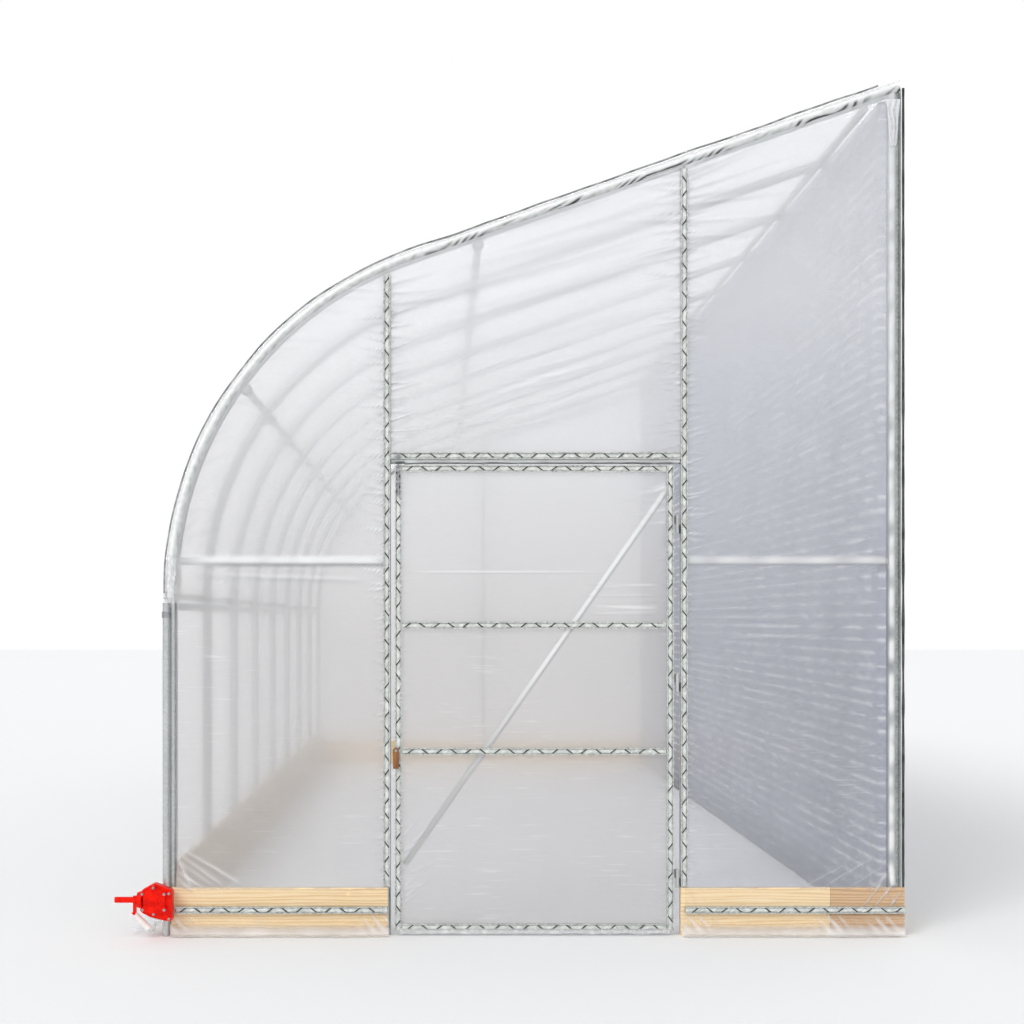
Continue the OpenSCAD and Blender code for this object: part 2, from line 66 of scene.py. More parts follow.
# How far the gable's film and the backs of the lock channels stand in front of the hoop's middle
FILM_Y, CHANNEL_Y, BOARD_CHANNEL_Y = -26.1, -27.9, -49.9
CHANNEL_D, CHANNEL_EDGE = 12, 15
# Lengthwise creases in the tall side's sheet are this far apart
CREASE_STEP = 53
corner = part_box("low_posts")[0]
ORIGIN = Vector((corner.x, corner.y + HOOP_R / 1000, 0))


def at(x, y, z):
    return ORIGIN + Vector((x, y, z)) / 1000


def mm(points):
    """Places in millimetres, as rows of a table, to the frame's metres."""
    return np.asarray(points, float) / 1000 + np.array(ORIGIN)


def mm_table(x, y, z):
    """Three columns of millimetres as the rows of one table."""
    return np.column_stack([x, y, z])


def bend(angle, r):
    """A place on the shoulder bend, r from its centre."""
    return BEND_R - r * math.cos(angle), EAVE_Z + r * math.sin(angle)


RAFTER_X, RAFTER_Z = bend(BEND_END, BEND_R - HOOP_R)


def rafter_z(x, off):
    """Height at x of a line that runs off millimetres above the rafter's middle."""
    return RAFTER_Z + (x - RAFTER_X) * math.tan(SLOPE) + off / math.cos(SLOPE)


def outline_z(x, inset):
    """Height of the gable's outline at x, measured in from the hoop's outer face."""
    if x < bend(BEND_END, BEND_R - inset)[0]:
        return EAVE_Z + math.sqrt(max(0, (BEND_R - inset) ** 2 - (BEND_R - x) ** 2))
    return rafter_z(x, HOOP_R - inset)


print("origin", tuple(round(v, 4) for v in ORIGIN), "peak", round(rafter_z(HOUSE_W, HOOP_R)))

# %% [markdown]
# ## Camera
# The front gable is seen square on, from head height and left of the middle. The lens is shifted, as
# on a view camera, so that the posts stay upright while the whole gable is in the frame.

# %% Camera
cam_data = bpy.data.cameras.new("camera")
cam_data.sensor_width = 36
cam_data.lens = 57.9
cam_data.shift_x, cam_data.shift_y = 0.0703, 0.1055
cam_data.clip_end = 200
camera = bpy.data.objects.new("camera", cam_data)
bpy.context.scene.collection.objects.link(camera)
camera.location = at(1108, -6695, 1276)
camera.rotation_euler = (math.pi / 2, 0, 0)
bpy.context.scene.camera = camera
print("camera", tuple(round(v, 3) for v in camera.location))

# %% [markdown]
# ## Materials
# Most of these helpers are one step each: a paint chart's hex colour becomes light values, a material
# is started, a node is added with its settings and links. `mottled` makes the plain finishes, which
# only waver in tone.


# %% Material helpers
def tone(hex_code):
    """A paint chart's hex colour as linear light values."""
    out = []
    for i in (0, 2, 4):
        c = int(hex_code[i:i + 2], 16) / 255
        out.append(c / 12.92 if c <= 0.04045 else ((c + 0.055) / 1.055) ** 2.4)
    return (*out, 1)


def add(mat, kind, settings=None, stops=(), **inputs):
    """Adds a node. An input is a value, or another node's output to link; i2 is the third socket.
    The stops of a colour ramp are (place, hex)."""
    n = mat.node_tree.nodes.new(kind)
    for key, value in (settings or {}).items():
        setattr(n, key, value)
    if stops:
        marks = n.color_ramp.elements
        marks[0].position, marks[-1].position = stops[0][0], stops[-1][0]
        marks[0].color, marks[-1].color = tone(stops[0][1]), tone(stops[-1][1])
        for spot, code in stops[1:-1]:
            marks.new(spot).color = tone(code)
    for key, value in inputs.items():
        numbered = key[0] == "i" and key[1:].isdigit()
        socket = n.inputs[int(key[1:])] if numbered else n.inputs[key.replace("_", " ")]
        if isinstance(value, bpy.types.NodeSocket):
            mat.node_tree.links.new(value, socket)
        else:
            socket.default_value = value
    return n


def material(name, **shader):
    """A new material and its shader node, with the shader's own values set."""
    mat = bpy.data.materials.new(name)
    mat.use_nodes = True
    node = mat.node_tree.nodes["Principled BSDF"]
    for key, value in shader.items():
        node.inputs[key.replace("_", " ")].default_value = value
    return mat, node


def link(mat, output, node, socket):
    mat.node_tree.links.new(output, node.inputs[socket])


def place(mat, stretch=(1, 1, 1)):
    """Object coordinates in metres, stretched."""
    coords = add(mat, "ShaderNodeTexCoord")
    return add(mat, "ShaderNodeMapping", i0=coords.outputs["Object"], Scale=stretch).outputs[0]


def mottled(name, scale, detail, dark, light, stretch=(1, 1, 1), **shader):
    """A material whose colour wavers between two tones; dark and light are (place, hex)."""
    mat, node = material(name, **shader)
    blots = add(mat, "ShaderNodeTexNoise", Vector=place(mat, stretch), Scale=scale, Detail=detail)
    tones = add(mat, "ShaderNodeValToRGB", stops=(dark, light), i0=blots.outputs["Fac"])
    link(mat, tones.outputs[0], node, "Base Color")
    return mat, node


print("white is", tone("ffffff"))

# %% [markdown]
# ### Hot-dip galvanised steel
# Zinc freezes on the tube in crystals, the spangle, 5 to 15 mm across, and dulls to a silver grey.
# Metallic with a middling roughness that changes from crystal to crystal gives that broken sheen.


# %% Galvanised steel
def galvanised(name, dark, light, rough, spangle_mm, streak=0.5):
    mat, node = material(name, Metallic=0.85)
    spots = add(mat, "ShaderNodeTexVoronoi", {"feature": "F1"}, Vector=place(mat), Scale=1000 / spangle_mm)
    tint = add(mat, "ShaderNodeSeparateColor", i0=spots.outputs["Color"])
    cloud = add(mat, "ShaderNodeTexNoise", Vector=place(mat, (1, 1, 0.25)), Scale=14.0, Detail=4.0)
    mix = add(mat, "ShaderNodeMix", {"data_type": "FLOAT"}, i0=streak,
              i2=tint.outputs[0], i3=cloud.outputs["Fac"])
    tones = add(mat, "ShaderNodeValToRGB", stops=[(0.25, dark), (0.75, light)], i0=mix.outputs[0])
    link(mat, tones.outputs[0], node, "Base Color")
    rough_map = add(mat, "ShaderNodeMapRange", i0=mix.outputs[0], To_Min=rough - 0.08, To_Max=rough + 0.1)
    link(mat, rough_map.outputs[0], node, "Roughness")
    bump = add(mat, "ShaderNodeBump", Strength=0.12, Distance=0.0006, Height=mix.outputs[0])
    link(mat, bump.outputs[0], node, "Normal")
    return mat


steel_tube = galvanised("galvanised_steel_tube", "babdbd", "d2d5d4", 0.36, 9, 0.7)
post_tube = galvanised("weathered_galvanised_post", "7f8582", "b4bab6", 0.36, 12, 0.7)
fitting_zinc = galvanised("zinc_plated_fittings", "8b8f92", "b9bcbf", 0.38, 4)
channel_metal = galvanised("rolled_galvanised_channel", "a9adaa", "d9dcd8", 0.3, 7)
print("metals", len(bpy.data.materials))

# %% [markdown]
# ### Greenhouse film
# Blown polythene film is clear but milky: it scatters part of the light, so what is just behind it
# is sharp and what is further off is blurred and washed out. A solid shader could only fade things.
# A rough transmission with an index hardly above 1 blurs them with distance and bends nothing; a
# clear coat then gives the gloss. Where the film is creased it is denser and painted white: a painted
# highlight over the film's own scatter. Each film piece carries a `crease` value at every vertex, which
# the material turns into opacity and whiteness, and a `shade` value for the painted shade on the lower
# side of each fold.


# %% Greenhouse film
def film_material(name, code, clear, creased, rough=0.22, crinkle=0.35, haze=0.0, high_alpha=0.9):
    """haze is the share of light that it lets through scattered. A `laid` value of 1 makes it clear.
    From head height to the ridge the film is denser and painted paler: painted light from the sky."""
    mat, node = material(name, Roughness=rough, IOR=1.5)
    if haze:
        mat, node = material(name, Roughness=0.75, IOR=1.04, Coat_Weight=0.8, Coat_Roughness=rough)
    folds = add(mat, "ShaderNodeAttribute", {"attribute_name": "crease"}).outputs["Fac"]
    laid = add(mat, "ShaderNodeAttribute", {"attribute_name": "laid"}).outputs["Fac"]
    shade = add(mat, "ShaderNodeAttribute", {"attribute_name": "shade"}).outputs["Fac"]
    level = add(mat, "ShaderNodeSeparateXYZ", i0=place(mat)).outputs["Z"]
    high = add(mat, "ShaderNodeMapRange", i0=level, From_Min=1.2, From_Max=2.6).outputs[0]
    # Stretch lines, about 150 mm long and drawn 8 mm wide, in patches
    lines = add(mat, "ShaderNodeTexNoise", Vector=place(mat, (5.5, 5.5, 105)), Scale=1.0, Detail=2.0)
    patches = add(mat, "ShaderNodeTexNoise", Vector=place(mat), Scale=1.7, Detail=2.0)
    thin = add(mat, "ShaderNodeMapRange", i0=lines.outputs["Fac"], From_Min=0.6, From_Max=0.72, To_Max=0.3)
    low_patch = add(mat, "ShaderNodeMath", {"operation": "SUBTRACT"}, i0=patches.outputs["Fac"], i1=high)
    patchy = add(mat, "ShaderNodeMapRange", i0=low_patch.outputs[0], From_Min=0.46, From_Max=0.62)
    stretch = add(mat, "ShaderNodeMath", {"operation": "MULTIPLY"}, i0=thin.outputs[0], i1=patchy.outputs[0])
    crease = add(mat, "ShaderNodeMath", {"operation": "MAXIMUM"}, i0=folds, i1=stretch.outputs[0]).outputs[0]
    fine = add(mat, "ShaderNodeTexNoise", Vector=place(mat, (1, 1, 2.4)), Scale=26.0, Detail=5.0,
               Roughness=0.62, Distortion=0.6)
    cloud = add(mat, "ShaderNodeTexNoise", Vector=place(mat, (1, 1, 0.6)), Scale=1.6, Detail=3.0)
    base = add(mat, "ShaderNodeMapRange", i0=cloud.outputs["Fac"], From_Min=0.3, From_Max=0.7,
               To_Min=clear - 0.04, To_Max=clear + 0.05)
    denser = add(mat, "ShaderNodeMix", {"data_type": "FLOAT"}, i0=high, i2=base.outputs[0], i3=high_alpha)
    clearer = add(mat, "ShaderNodeMix", {"data_type": "FLOAT"}, i0=laid, i2=denser.outputs[0], i3=0.14)
    alpha = add(mat, "ShaderNodeMix", {"data_type": "FLOAT"}, i0=crease, i2=clearer.outputs[0], i3=creased)
    folded = add(mat, "ShaderNodeMath", {"operation": "MAXIMUM"}, i0=alpha.outputs[0], i1=shade)
    link(mat, folded.outputs[0], node, "Alpha")
    # Painted highlight: creases are whitened
    whitened = add(mat, "ShaderNodeValToRGB", stops=[(0.0, code), (0.8, "ffffff")], i0=crease)
    # Painted light: higher up the film is painted paler
    pale = add(mat, "ShaderNodeMix", {"data_type": "RGBA"}, i0=high, i6=whitened.outputs[0],
               i7=tone("eff0f3"))
    # Painted shade: the lower side of each fold is darkened towards grey, made denser and lets less light
    # through
    dusky = add(mat, "ShaderNodeMix", {"data_type": "RGBA"}, i0=shade, i6=pale.outputs[2],
                i7=tone("7f828a"))
    link(mat, dusky.outputs[2], node, "Base Color")
    if haze:
        through = add(mat, "ShaderNodeMapRange", i0=crease, To_Min=haze, To_Max=0.1)
        milky = add(mat, "ShaderNodeMapRange", i0=high, To_Min=1.0, To_Max=0.74)
        both = add(mat, "ShaderNodeMath", {"operation": "MULTIPLY"}, i0=through.outputs[0],
                   i1=milky.outputs[0])
        closed = add(mat, "ShaderNodeMapRange", i0=shade, To_Min=1.0, To_Max=0.3)
        passed = add(mat, "ShaderNodeMath", {"operation": "MULTIPLY"}, i0=both.outputs[0],
                     i1=closed.outputs[0])
        link(mat, passed.outputs[0], node, "Transmission Weight")
    bump = add(mat, "ShaderNodeBump", Strength=crinkle, Distance=0.004, Height=fine.outputs["Fac"])
    link(mat, bump.outputs[0], node, "Normal")
    if haze:
        link(mat, bump.outputs[0], node, "Coat Normal")
    return mat


gable_film = film_material("polythene_film_gable", "d6d4d4", 0.88, 0.95, haze=0.58)
taut_film = film_material("polythene_film_gable_taut", "d3d5de", 0.5, 0.95, haze=0.62, high_alpha=0.76)
roof_film = film_material("polythene_film_roof", "d8dbe1", 0.42, 0.8, haze=0.7, high_alpha=0.5)
wrap_film = film_material("polythene_film_doubled", "dcdddd", 0.16, 0.85, rough=0.18, crinkle=0.6,
                          high_alpha=0.3)

# Film twisted round the front hoop is many layers deep, so it hardly lets light through. Its folds
# hold shade: the `crease` value is how light each place is.
twisted_film, node = material("polythene_film_twisted", Roughness=0.3, Alpha=0.94)
folds = add(twisted_film, "ShaderNodeAttribute", {"attribute_name": "crease"}).outputs["Fac"]
depth = add(twisted_film, "ShaderNodeValToRGB", i0=folds,
            stops=[(0.0, "2c2f2f"), (0.3, "7d8180"), (0.62, "ced1d0"), (0.9, "ffffff")])
link(twisted_film, depth.outputs[0], node, "Base Color")
fine = add(twisted_film, "ShaderNodeTexNoise", Vector=place(twisted_film), Scale=70.0, Detail=4.0)
bump = add(twisted_film, "ShaderNodeBump", Strength=0.5, Distance=0.003, Height=fine.outputs["Fac"])
link(twisted_film, bump.outputs[0], node, "Normal")


# Cut edges roll up on themselves. They are paler on the roof and nearly black down the tall post.
edge_film, node = mottled("polythene_film_cut_edge", 24.0, 3.0, (0.35, "6c6f6e"), (0.65, "b8bbba"),
                          Roughness=0.4)
dark_edge, node = mottled("polythene_film_soiled_edge", 24.0, 3.0, (0.35, "121414"), (0.65, "4d504f"),
                            Roughness=0.4)
print("films", [m.name for m in bpy.data.materials if "film" in m.name])

# %% [markdown]
# ### The sheet on the tall side
# A woven polythene sheet, pale lavender grey. It came folded, so creases run along it about 50 mm
# apart, catching light as short broken dashes. The dashes come from the height above the ground, cut
# into rows, and from noise that runs along each row: no picture is needed, and no two are alike.


# %% Woven sheet
def woven(name):
    mat, node = material(name, Roughness=0.42, Alpha=0.985)
    fleck = add(mat, "ShaderNodeTexNoise", Vector=place(mat, (1, 0.6, 1)), Scale=3.0, Detail=3.0)
    low_tone, high_tone = (add(mat, "ShaderNodeValToRGB", stops=stops, i0=fleck.outputs["Fac"]).outputs[0]
                           for stops in ([(0.3, "9b9faa"), (0.7, "a8abb7")],
                                         [(0.3, "b0b4bf"), (0.7, "bcbfca")]))
    axes = add(mat, "ShaderNodeSeparateXYZ", i0=place(mat))
    rows = add(mat, "ShaderNodeMath", {"operation": "MULTIPLY"}, i0=axes.outputs["Z"], i1=1000 / CREASE_STEP)
    part = add(mat, "ShaderNodeMath", {"operation": "FRACT"}, i0=rows.outputs[0])
    row = add(mat, "ShaderNodeMath", {"operation": "FLOOR"}, i0=rows.outputs[0])
    # Each crease is a painted highlight, drawn 5 mm wide, over a painted shadow line just below it; both
    # break where noise is low
    strip = add(mat, "ShaderNodeCombineXYZ", i0=row.outputs[0], i1=axes.outputs["Y"])
    broken = add(mat, "ShaderNodeTexNoise", Vector=strip.outputs[0], Scale=11.0, Detail=2.0)
    dash = add(mat, "ShaderNodeMapRange", i0=broken.outputs["Fac"], From_Min=0.47, From_Max=0.62, To_Max=0.75)
    lines = []
    for middle, core, reach, full in ((0.5, 0.03, 0.085, 1.0), (0.39, 0.0, 0.09, 0.5)):
        off = add(mat, "ShaderNodeMath", {"operation": "SUBTRACT"}, i0=part.outputs[0], i1=middle)
        away = add(mat, "ShaderNodeMath", {"operation": "ABSOLUTE"}, i0=off.outputs[0])
        line = add(mat, "ShaderNodeMapRange", i0=away.outputs[0], From_Min=core, From_Max=reach,
                   To_Min=full, To_Max=0.0)
        lines.append(add(mat, "ShaderNodeMath", {"operation": "MULTIPLY"}, i0=line.outputs[0],
                         i1=dash.outputs[0]).outputs[0])
    crease = add(mat, "ShaderNodeAttribute", {"attribute_name": "crease"}).outputs["Fac"]
    light = add(mat, "ShaderNodeMath", {"operation": "MAXIMUM"}, i0=crease, i1=lines[0])
    level = add(mat, "ShaderNodeMapRange", i0=axes.outputs["Z"], From_Min=0.3, From_Max=3.0)
    # Painted shade darkens the sheet for 200 mm up from the foot, where it meets the ground
    foot_shade = add(mat, "ShaderNodeMapRange", i0=axes.outputs["Z"], From_Max=0.2, To_Min=0.75, To_Max=0.0)
    colour = low_tone
    for share, over in ((level.outputs[0], high_tone), (lines[1], tone("7e828e")),
                        (light.outputs[0], tone("ffffff")), (foot_shade.outputs[0], tone("6f7078"))):
        colour = add(mat, "ShaderNodeMix", {"data_type": "RGBA"}, i0=share, i6=colour, i7=over).outputs[2]
    link(mat, colour, node, "Base Color")
    # Threads are 1 to 2 mm wide. They are drawn 8 mm wide so that the weave shows from a distance.
    threads = add(mat, "ShaderNodeTexWave", {"wave_type": "BANDS", "bands_direction": "Z"},
                  Vector=place(mat), Scale=20.0, Distortion=0.4)
    bump = add(mat, "ShaderNodeBump", Strength=0.15, Distance=0.001, Height=threads.outputs["Fac"])
    link(mat, bump.outputs[0], node, "Normal")
    return mat


woven_sheet = woven("woven_polythene_sheet")
print("sheet", woven_sheet.name, "creases every", CREASE_STEP, "mm")

# %% [markdown]
# ### Pine boards
# Planed pine: pale bands a few millimetres wide run along the board with thin darker late wood, and a
# few knots. Boards from another stack are browner. Grain follows the board, so each run of boards has
# its own direction.


# %% Pine
def pine(name, light, mid, dark, along):
    mat, node = material(name, Roughness=0.62)
    stretch = (0.06, 1, 1) if along == "x" else (1, 0.06, 1)
    where = place(mat, stretch)
    swirl = add(mat, "ShaderNodeTexNoise", Vector=where, Scale=9.0, Detail=3.0, Distortion=1.2)
    # Growth rings: pale and dark bands about 7 mm wide, in turn
    rings = add(mat, "ShaderNodeTexWave",
                {"wave_type": "BANDS", "bands_direction": "Z", "wave_profile": "SIN"},
                Vector=where, Scale=22.0, Distortion=9.0, Detail=3.0, Detail_Scale=1.4)
    fibre = add(mat, "ShaderNodeTexNoise", Vector=place(mat, (0.03, 1, 1) if along == "x" else (1, 0.03, 1)),
                Scale=260.0, Detail=3.0)
    both = add(mat, "ShaderNodeMix", {"data_type": "FLOAT"}, i0=0.45, i2=rings.outputs["Fac"],
               i3=swirl.outputs["Fac"])
    all_three = add(mat, "ShaderNodeMix", {"data_type": "FLOAT"}, i0=0.2, i2=both.outputs[0],
                    i3=fibre.outputs["Fac"])
    tones = add(mat, "ShaderNodeValToRGB", stops=[(0.2, dark), (0.45, mid), (0.8, light)],
                i0=all_three.outputs[0])
    link(mat, tones.outputs[0], node, "Base Color")
    bump = add(mat, "ShaderNodeBump", Strength=0.25, Distance=0.0008, Height=all_three.outputs[0])
    link(mat, bump.outputs[0], node, "Normal")
    return mat


front_pine = pine("planed_pine_front", "fce6be", "f6d8a8", "e6c08c", "x")
brown_pine = pine("weathered_pine_front", "e2c299", "d4ad80", "b98f64", "x")
side_pine = pine("planed_pine_sides", "e6d8c2", "d9c7ab", "bda583", "y")
stained_wood, node = mottled("stained_hardwood", 150.0, 4.0, (0.3, "5d3417"), (0.7, "a66d38"),
                             stretch=(1, 1, 0.12), Roughness=0.5)
print("woods", [m.name for m in (front_pine, brown_pine, side_pine, stained_wood)])

# %% [markdown]
# ### Red enamel, plastic and wire
# The winder is a die casting under red enamel: a coat with slight orange peel, lumps about 2 mm
# across, darker in patches. Its grip is moulded white plastic. The spring wire has a black coat.

# %% Paint, plastic and wire
red_enamel, node = mottled("red_enamel_casting", 42.0, 4.0, (0.3, "d80a00"), (0.65, "ff1c04"),
                           Roughness=0.36, IOR=1.2, Coat_Weight=0.05, Coat_Roughness=0.12)
peel = add(red_enamel, "ShaderNodeTexNoise", Vector=place(red_enamel), Scale=420.0, Detail=2.0)
bump = add(red_enamel, "ShaderNodeBump", Strength=0.2, Distance=0.0006, Height=peel.outputs["Fac"])
link(red_enamel, bump.outputs[0], node, "Normal")
grip_plastic, node = mottled("moulded_white_plastic", 60.0, 3.0, (0.3, "e9e6e0"), (0.7, "f8f6f2"),
                             Roughness=0.4)
coated_wire, node = mottled("black_coated_spring_wire", 90.0, 3.0, (0.35, "141616"), (0.75, "34383a"),
                            Roughness=0.45)
print("materials", len(bpy.data.materials))

# %% [markdown]
# ## The steel that comes from the frame
# These nodes already have the right shape, so they keep it and only change their finish.

# %% Finish the frame's own pieces
FINISH = {
    steel_tube: "low_posts hoop_bends rafters purlins door_posts gable_rails back_post tall_side_rails "
                "guide_pole door_frame roll_tube hinge_pins hinge_sleeves",
    post_tube: "tall_posts",
    fitting_zinc: "hoop_sleeves purlin_clamps pole_clip latch_fittings bolt_keeper bolt_rod",
    channel_metal: "gable_channels board_channels eave_channel ridge_channel door_channels",
    red_enamel: "winder_guide crank",
    grip_plastic: "crank_grip",
    stained_wood: "turn_button",
}
for mat, names in FINISH.items():
    for name in names.split():
        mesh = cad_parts[name].data
        mesh.materials.clear()
        mesh.materials.append(mat)
print("finished", sum(len(v.split()) for v in FINISH.values()), "nodes")

# %% [markdown]
# ## Making film
# Film is one surface with no thickness to speak of. A grid from the mesh library is laid on each
# panel, and every crease is a low ridge along a short line. Ridges are summed at each vertex: their
# height moves the film, and their steepness is kept as the `crease` value.


# %% Film helpers
def finish_piece(name, bm, mat, body, replaces=(), smooth=True):
    """Turns a bmesh whose places are millimetres into a piece that rides on a body."""
    mesh = bpy.data.meshes.new(name)
    bm.to_mesh(mesh)
    bm.free()
    co = np.empty(len(mesh.vertices) * 3)
    mesh.vertices.foreach_get("co", co)
    mesh.vertices.foreach_set("co", mm(co.reshape(-1, 3)).ravel())
    mesh.polygons.foreach_set("use_smooth", [smooth] * len(mesh.polygons))
    mesh.update()
    obj = bpy.data.objects.new(name, mesh)
    bpy.context.scene.collection.objects.link(obj)
    for m in mat if isinstance(mat, (list, tuple)) else [mat]:
        mesh.materials.append(m)
    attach(obj, body)
    if replaces:
        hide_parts(*replaces)
    return obj


def grid_piece(name, across, along, shape, mat, body, replaces=()):
    """A sheet: a unit grid whose (u, v) places go through shape(u, v) -> points, crease, laid, shade."""
    bm = bmesh.new()
    bmesh.ops.create_grid(bm, x_segments=across, y_segments=along, size=0.5)
    uv = np.array([v.co[:2] for v in bm.verts]) + 0.5
    points, *values = shape(uv[:, 0], uv[:, 1])
    for v, p in zip(bm.verts, points):
        v.co = p
    obj = finish_piece(name, bm, mat, body, replaces)
    values += [np.zeros(len(uv))] * (3 - len(values))
    for kind, value in zip(("crease", "laid", "shade"), values):
        obj.data.attributes.new(kind, "FLOAT", "POINT").data.foreach_set("value", np.clip(value, 0, 1))
    return obj


def ridges(a, b, lines):
    """Heights, steepness and shade at places (a, b) from lines (a0, b0, a1, b1, width, height, fade).
    fade 0 keeps a ridge full at both ends, 1 lets it die away from its first point. The shade lies on
    a ridge's lower side, which gets less light."""
    height, steep, shade = np.zeros(len(a)), np.zeros(len(a)), np.zeros(len(a))
    for a0, b0, a1, b1, width, tall, fade in lines:
        da, db = a1 - a0, b1 - b0
        size = da * da + db * db
        t = ((a - a0) * da + (b - b0) * db) / size
        below = ((a - a0) * db - (b - b0) * da) / math.sqrt(size) * (1 if da > 0 else -1)
        near = np.abs(below)
        ends = np.clip(np.minimum(t, 1 - t) * 6 + (1 if fade else 0.15), 0, 1) * (t > -0.03) * (t < 1)
        part = np.clip(t, 0, 1)
        strength = ends * ((1 - part) ** 1.3 if fade else np.sin(np.pi * part) ** 0.4)
        bell = np.exp(-(near / width) ** 2) * strength
        height += tall * bell
        steep += abs(tall) / width * bell
        side = np.clip(below / width, 0, 4)
        shade = np.maximum(shade, 2.3 * side * np.exp(-side ** 2) * strength * abs(tall) / width)
    return height, steep, shade


def speckle(a, b, size, seed):
    """Soft noise at places (a, b), whose lumps are about size millimetres."""
    return np.array([noise.noise(Vector((x / size, y / size, seed))) for x, y in zip(a, b)])


def fan(rng, x, z0, z1, side, step, long, rise=0.0, tall=3.0):
    """Gathers beside a lock channel at x: short ridges that start at the channel and die away."""
    out = []
    z = z0
    while z < z1:
        reach = long * rng.uniform(0.35, 1.2)
        slope = rise + rng.uniform(-0.25, 0.25)
        out.append((x, z, x + side * reach, z + side * reach * slope, rng.uniform(4.5, 9),
                    tall * rng.uniform(0.5, 1.3) * rng.choice([-1, 1]), 1))
        z += step * rng.uniform(0.4, 1.7)
    return out


print("gathers in a metre:", len(fan(np.random.default_rng(1), 0, 0, 1000, 1, 30, 60)))

# %% [markdown]
# ## Film on the front gable
# Three fields of film are locked into the channels on the door posts. They step out over the boards
# and end in the channels there. The crossing folds in the middle field run parallel with the roof.


# %% Front gable film
def step_over_board(z):
    """How far the film stands out, at height z, where it passes over the boards."""
    return -21.5 * (1 - np.clip((z - 190) / 90, 0, 1)) ** 2


def gable_sheet(name, x0, x1, low, high, lines, size, node, rng_seed, side="front", rails=False,
                mat=gable_film, rail_white=0.6):
    """One field of gable film between heights low(x) and high(x)."""
    wide = x1 - x0
    tall = max(high(x0), high(x1)) - low

    def shape(u, v):
        x = x0 + u * wide
        top = np.array([high(value) for value in x])
        z = low + v * (top - low)
        height, steep, shade = ridges(x, z, lines)
        soft = speckle(x, z, 130, rng_seed) * 2.2 + speckle(x, z, 38, rng_seed + 7) * 0.7
        edge = np.clip(np.minimum.reduce([u * wide, (1 - u) * wide, v * tall, (1 - v) * tall]) / 40, 0, 1)
        lift = height + soft * edge
        y = FILM_Y + step_over_board(z) - np.clip(lift, -2.5, 14)
        # A painted highlight lies along the rail, and it is weaker beside the low post
        rail_end = (0.35 + 0.65 * np.clip((x - 60) / 100, 0, 1)) * (x < 2915)
        painted_highlight = np.exp(-((z - 1519) / 17) ** 4) * (rail_white + 0.3 * speckle(x, z, 90, rng_seed)) \
            * rail_end if rails else 0
        laid = np.clip((200 - z) / 14, 0, 1)
        if mat is taut_film:
            # A painted highlight along the tall post's inner edge, for the post's lit side, and clear where
            # the film lies on the post
            painted_highlight = np.maximum(painted_highlight, np.exp(-((x - 2936) / 12) ** 4)
                                * np.clip(0.8 + speckle(x, z, 70, 5), 0, 1)
                                * (z > 205))
            laid = np.maximum(laid, np.clip((x - 2948) / 6, 0, 1))
        if side == "back":
            y = HOUSE_L - y
        # Painted shade in a thin line under the rail
        rail_shade = np.exp(-((z - 1498) / 7) ** 2) * (1.3 * rail_white - 0.28) \
            * (rail_end > 0) * np.clip((x - 110) / 110, 0, 1) if rails else 0
        return (mm_table(x, y, z), np.clip(np.maximum((steep - 0.15) * 0.95, painted_highlight), 0, 0.95), laid,
                np.maximum(shade * 0.55, rail_shade))

    return grid_piece(name, int(wide / size), int(tall / size), shape, mat, "house", (node,))


rng = np.random.default_rng(11)
left_lines = fan(rng, LEFT_POST - CHANNEL_EDGE, 1300, 2560, -1, 27, 120, rise=-0.12, tall=6)
left_lines += fan(rng, LEFT_POST - CHANNEL_EDGE, 230, 1300, -1, 30, 55, tall=4)
left_lines.append((75, 1466, 860, 1438, 13, 7, 0))
for i in range(26):
    angle = math.radians(rng.uniform(8, 66))
    x, z = bend(angle, BEND_R - 48)
    reach = rng.uniform(60, 260)
    lean = angle - rng.uniform(0.2, 1.3)
    left_lines.append((x, z, x + reach * math.cos(lean), z - reach * math.sin(lean) * 0.6, 9, 2.5, 1))
for x0, z0, x1, z1 in [(40, 360, 330, 195), (45, 330, 250, 190), (42, 300, 210, 190), (38, 262, 160, 188),
                       (36, 330, 110, 180), (34, 240, 120, 170)]:
    left_lines.append((x0, z0, x1, z1, rng.uniform(6, 8), rng.uniform(4, 6), 0))
left_film = gable_sheet("film_front_left", 40, LEFT_POST, 96, lambda x: outline_z(x, 36), left_lines, 7.5,
                        "front_film_left", 1, rails=True, rail_white=0.85)

rng = np.random.default_rng(12)
top_lines = fan(rng, LEFT_POST + CHANNEL_EDGE, 1990, 2640, 1, 25, 130, rise=0.16, tall=6)
top_lines += fan(rng, RIGHT_POST - CHANNEL_EDGE, 1990, 3060, -1, 27, 170, rise=0.1, tall=6)
for z in np.arange(2010, 2980, 62):
    start = z + rng.uniform(-18, 18)
    x0 = LEFT_POST + rng.uniform(20, 420)
    x1 = RIGHT_POST - rng.uniform(15, 380)
    rise = rng.uniform(0.24, 0.34)
    top_lines.append((x0, start, x1, start + (x1 - x0) * rise, rng.uniform(16, 30), rng.uniform(3, 7.5), 0))
for i in range(18):
    x0 = rng.uniform(1120, 1560)
    z0 = 2040 + i * 17
    top_lines.append((x0, z0, x0 + rng.uniform(160, 330), z0 + rng.uniform(50, 100), 7, 1.9, 0))
# Gathers that spread from the top of each channel
for x0, z0, x1, z1 in [(2081, 3085, 1840, 3075), (2081, 3060, 1800, 3010), (2081, 3020, 1780, 2925),
                       (2081, 2975, 1830, 2950), (2081, 2900, 1740, 2890), (908, 2640, 1130, 2700),
                       (908, 2600, 1180, 2625), (908, 2560, 1260, 2600)]:
    top_lines.append((x0, z0, x1, z1, 11, 6.5, 1))
top_film = gable_sheet("film_front_top", LEFT_POST, RIGHT_POST, 1932, lambda x: outline_z(x, 36),
                       top_lines, 8.5,
                       "front_film_top", 2)

